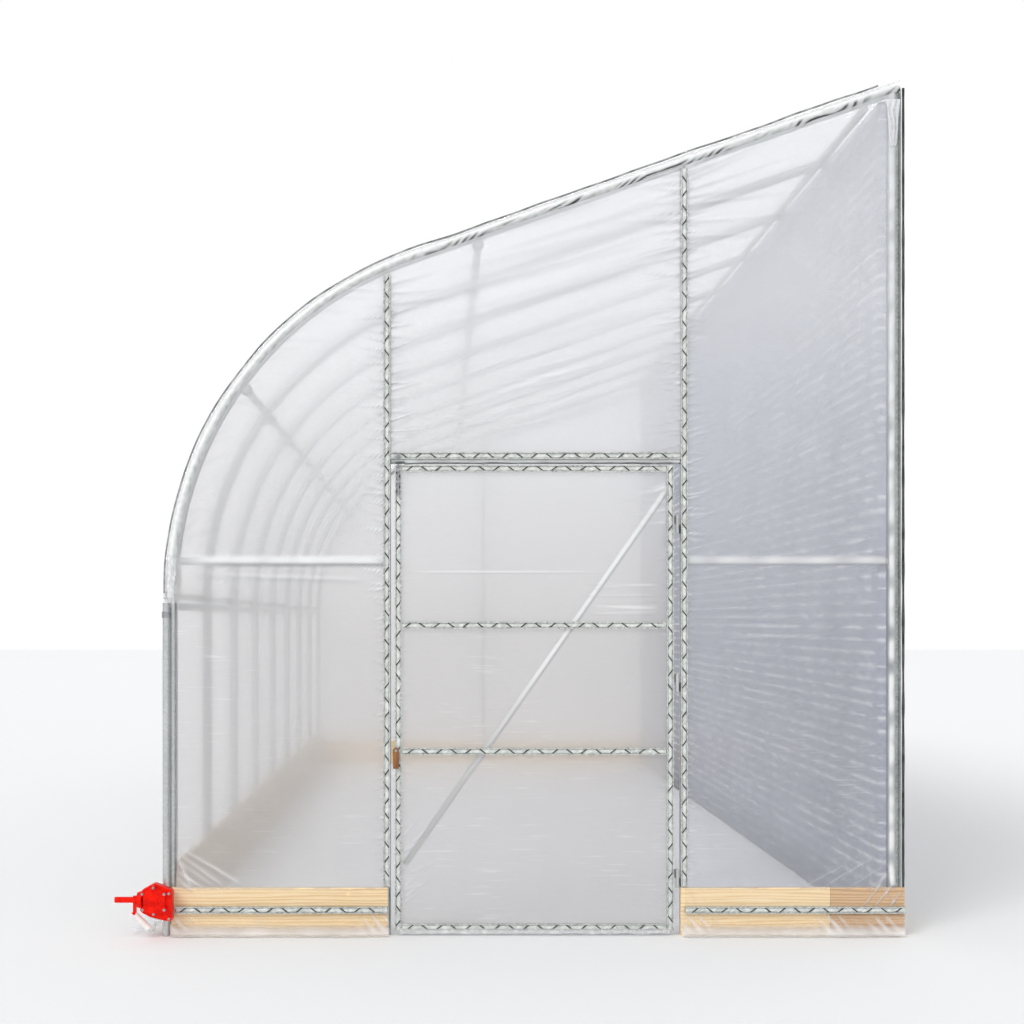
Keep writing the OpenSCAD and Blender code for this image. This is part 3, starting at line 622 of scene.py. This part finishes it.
rng = np.random.default_rng(13)
right_lines = fan(rng, RIGHT_POST + CHANNEL_EDGE, 1560, 3100, 1, 28, 120, rise=0.12, tall=5.5)
right_lines += fan(rng, RIGHT_POST + CHANNEL_EDGE, 230, 1500, 1, 32, 60, tall=4)
for z0, z1, x1 in [(3080, 3280, 2560), (3020, 3190, 2620), (2960, 3040, 2700), (2890, 2935, 2650),
                   (3110, 3300, 2500), (3060, 3210, 2440), (3095, 3190, 2380), (2990, 3060, 2460),
                   (2830, 2850, 2500)]:
    right_lines.append((RIGHT_POST + 14, z0, x1, z1, 12, 8, 1))
for i in range(14):
    z0 = rng.uniform(1180, 1480)
    x0 = rng.uniform(2110, 2300)
    right_lines.append((x0, z0, x0 + rng.uniform(250, 560), z0 + rng.uniform(-12, 12), 7, 1.3, 0))
for x0, z0, x1, z1 in [(2620, 175, 2890, 330), (2700, 160, 2940, 300), (2790, 150, 2935, 262),
                       (2560, 190, 2760, 290), (2150, 110, 2112, 195), (2955, 120, 2880, 210)]:
    right_lines.append((x0, z0, x1, z1, rng.uniform(4.5, 6), rng.uniform(1.6, 2.6), 0))
# The pull of the tall corner goes on over the boards
for x0, z0, x1, z1 in [(2800, 98, 2925, 262), (2842, 98, 2958, 236), (2905, 98, 2975, 190)]:
    right_lines.append((x0, z0, x1, z1, 7, 4.6, 0))
right_film = gable_sheet("film_front_right", RIGHT_POST, HOUSE_W - 1, 96, lambda x: outline_z(x, 36),
                         right_lines, 7.5,
                         "front_film_right", 3, rails=True, mat=taut_film)
print("gable film", [len(o.data.polygons) for o in (left_film, top_film, right_film)])

# %% [markdown]
# ## Film on the back gable
# One field, stretched from the foot to the hoop. It is seen from behind, and faintly through the house.

# %% Back gable film
rng = np.random.default_rng(14)
back_lines = []
for i in range(60):
    x = rng.uniform(60, 2900)
    top = outline_z(x, 30)
    drop = rng.uniform(120, 520)
    back_lines.append((x, top, x + rng.uniform(-120, 120), top - drop, rng.uniform(12, 24),
                       rng.uniform(2, 5), 1))
for i in range(24):
    x = rng.uniform(100, 2700)
    z = rng.uniform(300, min(2400, outline_z(x, 60)))
    back_lines.append((x, z, x + rng.uniform(200, 500), z + rng.uniform(-40, 120), rng.uniform(12, 26),
                       rng.uniform(2, 5), 0))
back_film = gable_sheet("film_back", 9, HOUSE_W - 1, 30, lambda x: outline_z(x, 3), back_lines, 22,
                        "back_film", 4, side="back")
print("back film", len(back_film.data.polygons))

# %% [markdown]
# ## Roof and shoulder film
# One length of film is thrown over the hoops, from the channel at the eave to the channel on the tall
# side. It lies on every hoop and sags a little between them, with small pleats where it is pulled tight.

# %% Roof film
FILM_R = BEND_R + 5
ARC = FILM_R * BEND_END
RAFTER_RUN = (HOUSE_W - RAFTER_X) / math.cos(SLOPE)
EAVE_DROP = 24
ROOF_W = EAVE_DROP + ARC + RAFTER_RUN


def roof_place(s, lift):
    """Across the roof: s millimetres up from the eave channel, lift outwards from the hoops."""
    arc = np.clip((s - EAVE_DROP) / FILM_R, 0, BEND_END)
    run = np.clip(s - EAVE_DROP - ARC, 0, None)
    r = FILM_R + lift
    x = BEND_R - r * np.cos(arc) + run * math.cos(SLOPE)
    z = EAVE_Z + r * np.sin(arc) + run * math.sin(SLOPE) - np.clip(EAVE_DROP - s, 0, None)
    return x, z


def roof_shape(u, v):
    s, y = u * ROOF_W, -24 + v * (HOUSE_L + 48)
    bay = np.clip(y, 0, HOUSE_L) % 1000 / 1000
    sag = -7 * np.sin(np.pi * bay) ** 2 * np.clip(np.minimum(s, ROOF_W - s) / 200, 0, 1)
    rng = np.random.default_rng(21)
    lines = []
    for hoop in range(BAYS + 1):
        for i in range(26):
            at_s, reach = rng.uniform(60, ROOF_W - 60), rng.uniform(60, 260)
            side = rng.choice([-1, 1])
            lines.append((at_s, hoop * 1000 + side * 20, at_s + rng.uniform(-50, 50),
                          hoop * 1000 + side * reach,
                          rng.uniform(18, 30), rng.uniform(2, 4), 1))
    height, steep, shade = ridges(y, s, [(b0, a0, b1, a1, *rest) for a0, b0, a1, b1, *rest in lines])
    soft = speckle(s, y, 300, 5) * 3
    x, z = roof_place(s, sag + height + soft * np.clip(np.sin(np.pi * bay), 0, 1))
    on_hoop = np.exp(-(np.minimum(bay, 1 - bay) * 1000 / 16) ** 2) * 0.25
    return mm_table(x, y, z), np.clip(steep * 1.6 + on_hoop, 0, 0.8), 0 * s, shade * 0.6


roof = grid_piece("film_roof", 150, 330, roof_shape, roof_film, "house",
                  ("roof_film", "shoulder_film"))
print("roof film", len(roof.data.polygons), "width", round(ROOF_W))

# %% [markdown]
# ## Film round the front hoop
# The roof film is folded over the front hoop and pulled in behind the gable film. Pulled round a tube
# it twists, so slanting pleats run along it like the lay of a rope.

# %% Film round the front hoop
HOOP_RUN = EAVE_DROP + BEND_END * (BEND_R - HOOP_R) + RAFTER_RUN - 14


def wrap_shape(u, v):
    s, turn = v * HOOP_RUN, math.radians(128) - u * math.radians(205)
    # Folds cross the tube at a low slant, one every 72 mm, and are deep only on the rafter
    side = HOOP_R * np.sin(turn)
    rafter = np.clip((s - 1650) / 500, 0, 1)
    phase = (s - 4.4 * side) / 78 + 2.1 * speckle(s, side * 2, 170, 3)
    patch = np.clip(speckle(s, side * 2, 150, 9) * 2.6 + 0.7, 0.1, 1)
    low_half = np.clip((9 - side) / 12, 0, 1)
    fold = np.clip(np.sin(2 * np.pi * phase) * 1.3, 0, 1) ** 1.3 * patch * low_half * (0.12 + 0.88 * rafter)
    fine = speckle(s * 1.0, turn * 26, 22, 4)
    r = HOOP_R + 6 - 3.6 * fold + 1.1 * fine
    rim = np.clip((-13 - side) / 5, 0, 1)
    # Painted light and shade: the lower half, the valleys of the folds and, on the bend, the underside rim
    # are darker
    light = 0.88 - 0.27 * low_half - 0.6 * fold + 0.1 * fine - 0.25 * rim * (1 - rafter)
    arc = np.clip((s - EAVE_DROP) / (BEND_R - HOOP_R), 0, BEND_END)
    run = np.clip(s - EAVE_DROP - BEND_END * (BEND_R - HOOP_R), 0, None)
    out = BEND_R - HOOP_R + r * np.sin(turn)
    x = BEND_R - out * np.cos(arc) + run * math.cos(SLOPE)
    z = EAVE_Z + out * np.sin(arc) + run * math.sin(SLOPE) - np.clip(EAVE_DROP - s, 0, None)
    x = np.where(arc <= 0, HOOP_R - r * np.sin(turn), x)
    y = -r * np.cos(turn)
    return mm_table(x, y, z), np.clip(light, 0, 1)


wrap = grid_piece("film_hoop_wrap", 28, 1000, wrap_shape, twisted_film, "house")


def lap_shape(u, v):
    """The film's cut edge, rolled up on itself and standing a little above the front hoop."""
    s = v * (HOOP_RUN - 70) + 20
    wave = 1.5 * np.sin(s / 90) + 3 * speckle(s, s * 0, 150, 8) + 3 * np.clip((s - 2300) / 500, 0, 1)
    x, z = roof_place(s, 1 + wave + u * 6)
    return mm_table(x, -22 - u * 7 + s * 0, z), 0 * u


lap = grid_piece("film_roof_edge", 3, 300, lap_shape, edge_film, "house")


def post_edge_shape(u, v):
    """The same film's outer edge, rolled up tight down the outside of the tall post."""
    turn, z = u * 2 * np.pi, 60 + v * 3370
    r = 5.4 + 2.6 * speckle(z, turn * 6, 110, 14)
    return mm_table(2984 + r * np.cos(turn), -24 + r * np.sin(turn), z), 0 * u


post_edge = grid_piece("film_post_edge", 10, 340, post_edge_shape, dark_edge, "house")


def lip_shape(u, v):
    """The top field's lower end, turned over and hanging under the header's channel."""
    x, z = 965 + u * 1115, 1926 - v * (13 + 3 * speckle(u * 1115, u * 0, 80, 3))
    return mm_table(x, -31 - 2 * v - 1.5 * speckle(x, z, 40, 5), z), 0.45 + 0.5 * speckle(x, z, 60, 9)


lip = grid_piece("film_header_lip", 140, 3, lip_shape, wrap_film, "house")
print("wrap", len(wrap.data.polygons))

# %% [markdown]
# ## Film on the door
# The leaf has its own film, held by channels on every stile and rail. One faint crease crosses the
# upper field, where the film was folded in its packet.

# %% Door film
rng = np.random.default_rng(31)
door_lines = []
for x, side in ((LEAF_X0 + 28, 1), (LEAF_X1 - 28, -1)):
    door_lines += fan(rng, x, 60, 1860, side, 60, 55, tall=1.8)
door_lines.append((LEAF_X0 + 30, 1472, LEAF_X1 - 260, 1468, 5, 3, 0))
for i in range(9):
    z0 = rng.uniform(1290, 1440)
    door_lines.append((1650 + rng.uniform(0, 120), z0, 2010, z0 + rng.uniform(-15, 15), 5, 1.6, 0))
for i in range(12):
    x0, z0 = rng.uniform(1780, 1900), rng.uniform(1640, 1850)
    door_lines.append((2020, z0 + 20, x0, z0 + rng.uniform(-60, 60), 7, 2, 1))
for i in range(8):
    x0, z0 = rng.uniform(960, 1000), rng.uniform(90, 420)
    door_lines.append((x0, z0, x0 + rng.uniform(60, 200), z0 + rng.uniform(40, 140), 7, 2.2, 1))


BRACE_TOP, BRACE_FOOT = (2025, 1802), (966, 283)


def door_shape(u, v):
    x, z = LEAF_X0 + 2 + u * (LEAF_X1 - LEAF_X0 - 4), LEAF_Z0 + 2 + v * (LEAF_Z1 - LEAF_Z0 - 4)
    height, steep, shade = ridges(x, z, door_lines)
    soft = speckle(x, z, 170, 31) * 1.6
    y = FILM_Y - np.clip(height + soft, -1.5, 9)
    # A painted highlight along the diagonal brace behind the film, most of all at the top, with painted shade
    # along its lower side
    run_x, run_z = BRACE_TOP[0] - BRACE_FOOT[0], BRACE_TOP[1] - BRACE_FOOT[1]
    beside = ((x - BRACE_FOOT[0]) * run_z - (z - BRACE_FOOT[1]) * run_x) / math.hypot(run_x, run_z)
    brace_highlight = np.exp(-((beside + 2.5) / 10) ** 4) * np.clip((z - 420) / 900, 0.12, 0.8) \
        * (z < BRACE_TOP[1] + 20)
    brace_shade = np.exp(-((beside - 10.5) / 3.5) ** 2) * np.clip((z - 420) / 900, 0.12, 0.5) \
        * (z < BRACE_TOP[1])
    return (mm_table(x, y, z), np.clip(np.maximum((steep - 0.1) * 1.1, brace_highlight), 0, 0.9), 0 * x,
            np.maximum(shade * 0.5, brace_shade))


door_film = grid_piece("film_door", 180, 280, door_shape, gable_film, "door", ("door_film",))


def tail_shape(u, v):
    """Ragged film that hangs under the leaf, cut unevenly."""
    x = LEAF_X0 + 20 + u * (LEAF_X1 - LEAF_X0 - 40)
    ragged = 5 + 8 * (0.5 + speckle(x, x * 0, 70, 2))
    z = 30 - v * (30 - ragged)
    y = -41.5 - v * (3 + 5 * speckle(x, v * 40, 60, 6))
    return mm_table(x, y, z), 0.2 + 0.5 * np.abs(speckle(x, z, 26, 3))


tail = grid_piece("film_door_tail", 140, 4, tail_shape, wrap_film, "door")
print("door film", len(door_film.data.polygons))

# %% [markdown]
# ## Roll-up curtain, skirt and hems
# The low side is a curtain that hangs from the eave channel and winds on the roll tube. Spare film
# hangs below the tube and lies out on the ground, and the gable film does the same in front of the
# boards.

# %% Curtain and skirt
ROLL_X, ROLL_Z, CURTAIN_X = -29.4, 146, -14.1


def curtain_shape(u, v):
    y, z = -21 + u * (HOUSE_L + 42), ROLL_Z + v * (1389 - ROLL_Z)
    rng = np.random.default_rng(41)
    lines = []
    for i in range(150):
        y0 = rng.uniform(-20, HOUSE_L)
        lines.append((y0, 1385, y0 + rng.uniform(-60, 60), 1385 - rng.uniform(80, 420), rng.uniform(16, 28),
                      rng.uniform(-4, 4), 1))
        lines.append((y0 + 30, 160, y0 + rng.uniform(-160, 220), rng.uniform(260, 620), rng.uniform(16, 30),
                      rng.uniform(-4, 4), 1))
    height, steep, shade = ridges(y, z, lines)
    free = np.sin(np.pi * v) ** 0.6
    x = CURTAIN_X - np.clip(height, -3, 6) - free * (3 + 4 * speckle(y, z, 420, 1))
    return mm_table(x, y, z), np.clip(steep * 1.6, 0, 0.8), 0 * y, shade * 0.5


curtain = grid_piece("film_curtain", 400, 60, curtain_shape, roof_film, "house", ("side_curtain",))


def skirt_shape(u, v):
    """v runs from the roll tube down to the ground and then out over it."""
    y = -21 + u * (HOUSE_L + 42)
    down, out = np.clip(v / 0.5, 0, 1), np.clip(v / 0.5 - 1, 0, 1)
    flare = 1 + 0.25 * speckle(y, y * 0, 260, 5) - 0.1
    wave = speckle(y, v * 90, 75, 12) * 11 * down
    x = ROLL_X - 6 - 22 * down ** 2 - out * 98 * flare - wave * 0.8
    z = 132 - 124 * down ** 1.3 + np.abs(wave) * 0.7 * (1 - 0.5 * out) + 3 * out
    front = np.exp(-((y + 21) / 160) ** 2)
    z = z + front * 16 * np.sin(np.pi * out) + 1.5
    return mm_table(x, y - front * 22 * v, np.clip(z, 1.5, None)), np.clip(0.18 + np.abs(wave) / 22, 0, 0.8)


skirt = grid_piece("film_skirt", 520, 24, skirt_shape, roof_film, "house", ("curtain_skirt",))
print("curtain", len(curtain.data.polygons), "skirt", len(skirt.data.polygons))

# %% [markdown]
# The hems hang from the board channels in front of the boards. Their edges are uneven, and in the
# corners they are bunched.


# %% Front hems
def hem(name, x0, x1, seed, bunch):
    def shape(u, v):
        x = x0 + u * (x1 - x0)
        down, out = np.clip(v / 0.55, 0, 1), np.clip(v / 0.55 - 1, 0, 1)
        wave = speckle(x, v * 60, 85, seed) * 7 * down
        z = 96 - 90 * down + np.abs(wave) * 0.5 * out + 2
        reach = 52 + 16 * speckle(x, x * 0, 190, seed + 3)
        y = -48.3 - 6 * down - out * reach - np.abs(wave)
        tight = sum(np.exp(-((x - b) / 70) ** 2) for b in bunch)
        pleat = tight * (0.5 + 0.5 * np.sin((x + z * 0.9) / 7.5)) * 6 * np.sin(np.pi * np.clip(down, 0.05, 1))
        y = y - pleat
        band = 0.55 * np.clip((40 - z) / 26, 0, 1)
        return (mm_table(x, y, np.clip(z, 1.5, None)), np.clip(np.abs(wave) / 18 + pleat / 9 + band, 0, 0.85),
                np.clip((z - 34) / 14, 0, 1))

    piece = grid_piece(name, int((x1 - x0) / 9), 22, shape, gable_film, "house")
    return piece


hem_left = hem("film_hem_left", 20, LEFT_POST + 8, 51, [860, 40])
hem_right = hem("film_hem_right", RIGHT_POST - 12, HOUSE_W, 52, [2140, 2700, 2900])
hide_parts("front_hems")
print("hems", len(hem_left.data.polygons) + len(hem_right.data.polygons))

# %% [markdown]
# ## Bunched film at the eave and on the tall post
# Where the roof film, the gable film and the curtain meet at the low corner, the spare film is bunched
# round the post. At the top of the tall post a tuck of film stands proud.


# %% Bunched film
def bunch_shape(x_mid, y_mid, z0, z1, radius, pleats, seed, swell):
    """Film gathered round a post: a sleeve with deep upright pleats, fuller in the middle."""
    def shape(u, v):
        turn = math.radians(-205) + u * math.radians(235)
        z = z0 + v * (z1 - z0)
        rough = speckle(turn * 40, z, 26, seed)
        pleat = 0.5 + 0.5 * np.sin(turn * pleats + 3 * speckle(turn * 30, z, 60, seed + 1))
        full = np.sin(np.pi * np.clip(v, 0.04, 0.96)) ** 0.5
        r = radius + swell * full * (0.3 + 0.7 * pleat) + 3.5 * rough * full
        return mm_table(x_mid + r * np.cos(turn), y_mid + r * np.sin(turn) * 0.9, z + 8 * rough), \
            np.clip(0.35 + 0.6 * np.abs(rough) + 0.2 * pleat, 0, 0.95)
    return shape


eave_bunch = grid_piece("film_eave_bunch", 70, 70, bunch_shape(HOOP_R, 0, 1345, 1535, 27, 9, 61, 9),
                        wrap_film,
                        "house")


def tuck_shape(u, v):
    x, z = 2912 + u * 58, 3195 + v * 190
    fold = np.abs(np.sin(u * 9 + 2.5 * speckle(x, z, 60, 3)))
    y = -30 - 9 * fold * np.sin(np.pi * v) ** 0.5 - 5 * np.clip(speckle(x, z, 24, 7), -0.2, 1)
    narrow = 1 - 0.55 * (1 - v)
    return mm_table(2941 + (x - 2941) * narrow, y, z), np.clip(0.45 + 0.5 * fold * v, 0, 0.95)


tuck = grid_piece("film_post_tuck", 30, 60, tuck_shape, wrap_film, "house")
print("bunches", len(eave_bunch.data.polygons), len(tuck.data.polygons))

# %% [markdown]
# ## Woven sheet on the tall side
# The sheet hangs inside the tall posts from the ridge to the ground, over the board. Its creases
# are ridges along the house, 53 mm apart, broken into dashes.


# %% Tall side sheet
def tall_shape(u, v):
    run = np.where(u < 0.024, u / 0.024 * 33, 33 + (u - 0.024) / 0.976 * (HOUSE_L - 25))
    folded = np.clip(1 - run / 33, 0, 1)
    y, z = np.where(run < 33, run * 0.4, run - 20) + 0.0, 6 + v * (rafter_z(2895, -HOOP_R) - 8)
    row = np.abs((z / 53) % 1 - 0.5) * 53
    wobble = speckle(y, z, 900, 4) * 6
    dash = np.clip(speckle(y, np.floor(z / 53) * 50, 120, 6) * 2.4 + 0.45, 0, 1)
    line = np.exp(-((row + wobble * 0.3) / 7) ** 2) * dash
    soft = speckle(y, z, 500, 8) * 2
    return mm_table(2894.5 + 28 * folded ** 1.4 - 2.2 * line + np.clip(soft, -2, 2), y, z), line * 0.75


tall_sheet = grid_piece("sheet_tall_side", 250, 330, tall_shape, woven_sheet, "house",
                        ("tall_side_sheet",))
print("tall side sheet", len(tall_sheet.data.polygons))

# %% [markdown]
# ## Spring wire
# A zig-zag of coated spring wire, 2.3 mm thick, is pressed into each channel over the film. One wave is
# 117 mm long. It is drawn 4.4 mm thick so that it shows at this distance. Under it the film is crumpled.

# %% Wire and the film under it
WIRE_R, WAVE, SWING = 2.2, 117, 10.5


def zigzag(length, shift):
    """Corners of the wire along a channel: (along, across)."""
    points, t = [], -shift
    while t < length:
        for step, side in ((0, -1), (30, -1), (58, 1), (88, 1)):
            if 3 < t + step < length - 3:
                points.append((t + step, side * SWING))
        t += WAVE
    return points


def channel_fill(name, runs, body):
    """One wire piece and one film piece for runs (x, y, z, direction, length) of channel."""
    wire, film = bmesh.new(), bmesh.new()
    rng = np.random.default_rng(len(name))
    for x, y, z, way, length in runs:
        along = Vector((1, 0, 0)) if way == "x" else Vector((0, 0, 1)) if way == "z" else Vector((0, 1, 0))
        across = Vector((0, 0, 1)) if way == "x" else Vector((1, 0, 0)) if way == "z" else Vector((0, 0, 1))
        start = Vector((x, y, z))
        out = along.cross(across) * (1 if way == "z" else -1)
        path = [start + along * a + across * c for a, c in zigzag(length, rng.uniform(0, 60))]
        for p, q in zip(path, path[1:]):
            side = (q - p).normalized()
            turned = side.to_track_quat("Z", "Y").to_matrix().to_4x4()
            rod = bmesh.ops.create_cone(wire, segments=6, radius1=WIRE_R, radius2=WIRE_R,
                                        depth=(q - p).length + WIRE_R, cap_ends=True)
            bmesh.ops.transform(wire, matrix=Matrix.Translation((p + q) / 2) @ turned, verts=rod["verts"])
        steps = max(2, int(length / 9))
        strip = bmesh.ops.create_grid(film, x_segments=steps, y_segments=4, size=0.5)
        for v in strip["verts"]:
            a, c = v.co.x + 0.5, v.co.y
            lump = noise.noise(Vector((a * length / 21, c * 2.5, x + z)))
            v.co = start + along * (a * length) + across * (c * 22) \
                + out * (2.5 - 5.5 * abs(lump) + 9 * c * c)
    metal = finish_piece(name + "_wire", wire, coated_wire, body)
    lining = finish_piece(name + "_lining", film, lining_film, body, smooth=False)
    return metal, lining


lining_film, node = mottled("crumpled_film_in_channel", 60.0, 3.0, (0.3, "c3c8c4"), (0.7, "f1f3ee"),
                            Roughness=0.3)
mouth = CHANNEL_D - 2.5
post_runs = [(x, CHANNEL_Y - mouth, BOARD_H + 5, "z", outline_z(x - 14, 42) - BOARD_H - 8)
             for x in (LEFT_POST, RIGHT_POST)]
header_run = [(LEFT_POST + 16, CHANNEL_Y - mouth, 1941, "x", RIGHT_POST - LEFT_POST - 32)]
board_runs = [(44, BOARD_CHANNEL_Y - mouth, 107, "x", LEFT_POST - 42),
              (RIGHT_POST + 2, BOARD_CHANNEL_Y - mouth, 107, "x", HOUSE_W - RIGHT_POST - 4)]
channel_fill("gable_channel", post_runs + header_run + board_runs, "house")
stile_runs = [(x, CHANNEL_Y - mouth, LEAF_Z0 + 2, "z", LEAF_Z1 - LEAF_Z0 - 4)
              for x in (LEAF_X0 + 14, LEAF_X1 - 14)]
rail_runs = [(LEAF_X0 + 30, CHANNEL_Y - mouth, z, "x", LEAF_X1 - LEAF_X0 - 60)
             for z in (LEAF_Z0 + 14, 745, 1255, LEAF_Z1 - 14)]
channel_fill("door_channel", stile_runs + rail_runs, "door")
print("wires made")

# %% [markdown]
# ## Boards
# Each board is a box with eased edges. Noise raises or lowers the corners of its top by up to about a
# millimetre. The short board at the tall corner comes from another stack.


# %% Boards
def plank(bm, x0, x1, y0, y1, z0, z1, seed):
    made = bmesh.ops.create_cube(bm, size=1)["verts"]
    bmesh.ops.scale(bm, vec=(x1 - x0, y1 - y0, z1 - z0), verts=made)
    bmesh.ops.translate(bm, vec=((x0 + x1) / 2, (y0 + y1) / 2, (z0 + z1) / 2), verts=made)
    edges = list({e for v in made for e in v.link_edges})
    cut = bmesh.ops.bevel(bm, geom=edges, offset=2, segments=2, profile=0.5, affect="EDGES", material=-1)
    verts = {v for f in cut["faces"] for v in f.verts}
    for v in verts:
        v.co.z += 1.2 * noise.noise(Vector((v.co.x / 400, v.co.y / 400, seed))) if v.co.z > z0 + 5 else 0


def boards(name, mat, node, boxes):
    bm = bmesh.new()
    for i, b in enumerate(boxes):
        plank(bm, *b, seed=i * 3.7)
    bmesh.ops.recalc_face_normals(bm, faces=bm.faces)
    return finish_piece(name, bm, mat, "house", node, smooth=False)


front_y = (-46.3, -21.3)
back_y = (HOUSE_L + 21.3, HOUSE_L + 46.3)
boards("boards_front", front_pine, ("front_boards",),
       [(22, 897, *front_y, 0, BOARD_H), (2080, 2683.7, *front_y, 0, BOARD_H)])
boards("board_front_short", brown_pine, (), [(2684, HOUSE_W, *front_y, 0, BOARD_H)])
boards("boards_back", front_pine, ("back_boards",),
       [(22, 1491.7, *back_y, 0, BOARD_H), (1492, HOUSE_W, *back_y, 0, BOARD_H)])
boards("boards_low_side", side_pine, ("low_side_boards",),
       [(42.3, 67.3, y0, y1, z, z + 149.8) for y0, y1 in ((-21, 4000), (4000.3, 8021)) for z in (0, 150.1)])
boards("boards_tall_side", side_pine, ("tall_side_boards",),
       [(2898.7, 2923.7, y0, y1, 0, BOARD_H) for y0, y1 in ((11.3, 4000), (4000.3, 8021))])
print("boards made")

# %% [markdown]
# ## Winder
# The gear housing is a die casting in two halves: a body and a cover held by six bolts, with a boss in
# the middle for the roll tube's bearing, ribs from the boss to the bolts, and a round nose for the crank.

# %% Winder housing
Y0, Y1 = -128.9, -62.9
CRANK_Z = 155


def prism(bm, points, y0, y1, edge):
    """An outline in the plane of the gable, extruded from y1 forward to y0, with eased edges."""
    verts = [bm.verts.new((x, y1, z)) for x, z in points]
    face = bm.faces.new(verts)
    grown = bmesh.ops.extrude_face_region(bm, geom=[face])
    top = [g for g in grown["geom"] if isinstance(g, bmesh.types.BMVert)]
    bmesh.ops.translate(bm, vec=(0, y0 - y1, 0), verts=top)
    edges = list({e for v in verts + top for e in v.link_edges})
    bmesh.ops.bevel(bm, geom=edges, offset=edge, segments=3, profile=0.5, affect="EDGES", material=-1)


def rod(bm, x, z, y0, y1, r, r_front=None, sides=24, axis="y"):
    made = bmesh.ops.create_cone(bm, segments=sides, radius1=r, radius2=r if r_front is None else r_front,
                                 depth=abs(y1 - y0), cap_ends=True)["verts"]
    turn = Matrix.Rotation(math.pi / 2, 4, "X") if axis == "y" else Matrix.Rotation(-math.pi / 2, 4, "Y")
    middle = (x, (y0 + y1) / 2, z) if axis == "y" else ((y0 + y1) / 2, x, z)
    bmesh.ops.transform(bm, matrix=Matrix.Translation(middle) @ turn, verts=made)
    return made


BODY = [(-84.4, 196), (-35.4, 223), (-3, 211), (36.6, 194), (36.6, 73), (8.6, 73), (-52, 88), (-84.4, 105)]
COVER = [(-80, 187), (-36, 215), (12, 192), (14, 112), (-30, 94), (-78, 112)]
BOLTS = [(-80, 183), (-36, 208), (8, 183), (8, 120), (-34, 103), (-78, 120)]
bm = bmesh.new()
prism(bm, BODY, Y0 + 16, Y1, 4)
prism(bm, [(x * 0.96 - 1.4, (z - 153) * 0.96 + 153) for x, z in COVER], Y0 + 2, Y0 + 17, 3)
rod(bm, ROLL_X - 6, CRANK_Z, Y0 - 2, Y0 + 4, 19, 17)
rod(bm, ROLL_X - 6, CRANK_Z, Y0 - 5.8, Y0, 10, 7)
rod(bm, (Y0 + Y1) / 2, CRANK_Z, -84, -104, 38, 30, 40, axis="x")
rod(bm, (Y0 + Y1) / 2, CRANK_Z, -98, -104.3, 22, 19, 32, axis="x")
for x, z in BOLTS:
    dx, dz = x - (ROLL_X - 6), z - CRANK_Z
    rib = bmesh.ops.create_cube(bm, size=1)["verts"]
    reach = math.hypot(dx, dz)
    bmesh.ops.scale(bm, vec=(reach * 0.86, 5, 4), verts=rib)
    bmesh.ops.transform(bm, matrix=Matrix.Translation(((x + ROLL_X - 6) / 2, Y0 + 1.5, (z + CRANK_Z) / 2))
                        @ Matrix.Rotation(-math.atan2(dz, dx), 4, "Y"), verts=rib)
    rod(bm, x, z, Y0 - 0.5, Y0 + 18, 10.5, 9.5)
for x, z in [(26, 184), (26, 83)]:
    rod(bm, x, z, Y0 + 6, Y0 + 18, 10, 9)
bmesh.ops.recalc_face_normals(bm, faces=bm.faces)
housing = finish_piece("winder_casting", bm, red_enamel, "house", ("winder_housing",),
                       smooth=False)
bm = bmesh.new()
for x, z in BOLTS + [(26, 184), (26, 83)]:
    front = Y0 - 5 if (x, z) in BOLTS else Y0 + 2
    rod(bm, x, z, front, front + 5, 6.2, 5.6, 6)
    rod(bm, x, z, front + 4.6, front + 5.8, 8, 8, 20)
bmesh.ops.recalc_face_normals(bm, faces=bm.faces)
finish_piece("winder_bolts", bm, fitting_zinc, "house", smooth=False)
print("winder", len(housing.data.polygons))

# %% [markdown]
# ## Floor and light
# A pale floor, one broad soft light high on the front left, and a surround that is white before and
# behind the house and greyer across it, so that the round tubes keep their edges.

# %% Floor, light and surround
bm = bmesh.new()
bmesh.ops.create_grid(bm, x_segments=1, y_segments=1, size=60)
floor_mesh = bpy.data.meshes.new("floor")
bm.to_mesh(floor_mesh)
bm.free()
floor = bpy.data.objects.new("floor", floor_mesh)
bpy.context.scene.collection.objects.link(floor)
floor_paint, node = material("matt_floor_paint", Roughness=0.9, Base_Color=tone("ffffff"))
floor_mesh.materials.append(floor_paint)

sun_data = bpy.data.lights.new("soft_light", "SUN")
sun_data.energy, sun_data.angle = 0.86, math.radians(25)
sun = bpy.data.objects.new("soft_light", sun_data)
bpy.context.scene.collection.objects.link(sun)
sun.rotation_euler = (math.radians(48), 0, math.radians(-38))

world = bpy.data.worlds.new("studio")
bpy.context.scene.world = world
world.use_nodes = True
nodes, links = world.node_tree.nodes, world.node_tree.links
coords = nodes.new("ShaderNodeTexCoord")
split = nodes.new("ShaderNodeSeparateXYZ")
links.new(coords.outputs["Generated"], split.inputs[0])
front = nodes.new("ShaderNodeMath")
front.operation = "ABSOLUTE"
links.new(split.outputs["Y"], front.inputs[0])
shade = nodes.new("ShaderNodeValToRGB")
shade.color_ramp.elements[0].color, shade.color_ramp.elements[0].position = tone("bec0c3"), 0.05
shade.color_ramp.elements[1].color, shade.color_ramp.elements[1].position = tone("ffffff"), 0.8
links.new(front.outputs[0], shade.inputs[0])
links.new(shade.outputs["Color"], nodes["Background"].inputs["Color"])
nodes["Background"].inputs["Strength"].default_value = 1.0
bpy.context.scene.view_settings.view_transform = "Standard"
bpy.context.scene.cycles.transparent_max_bounces = 24
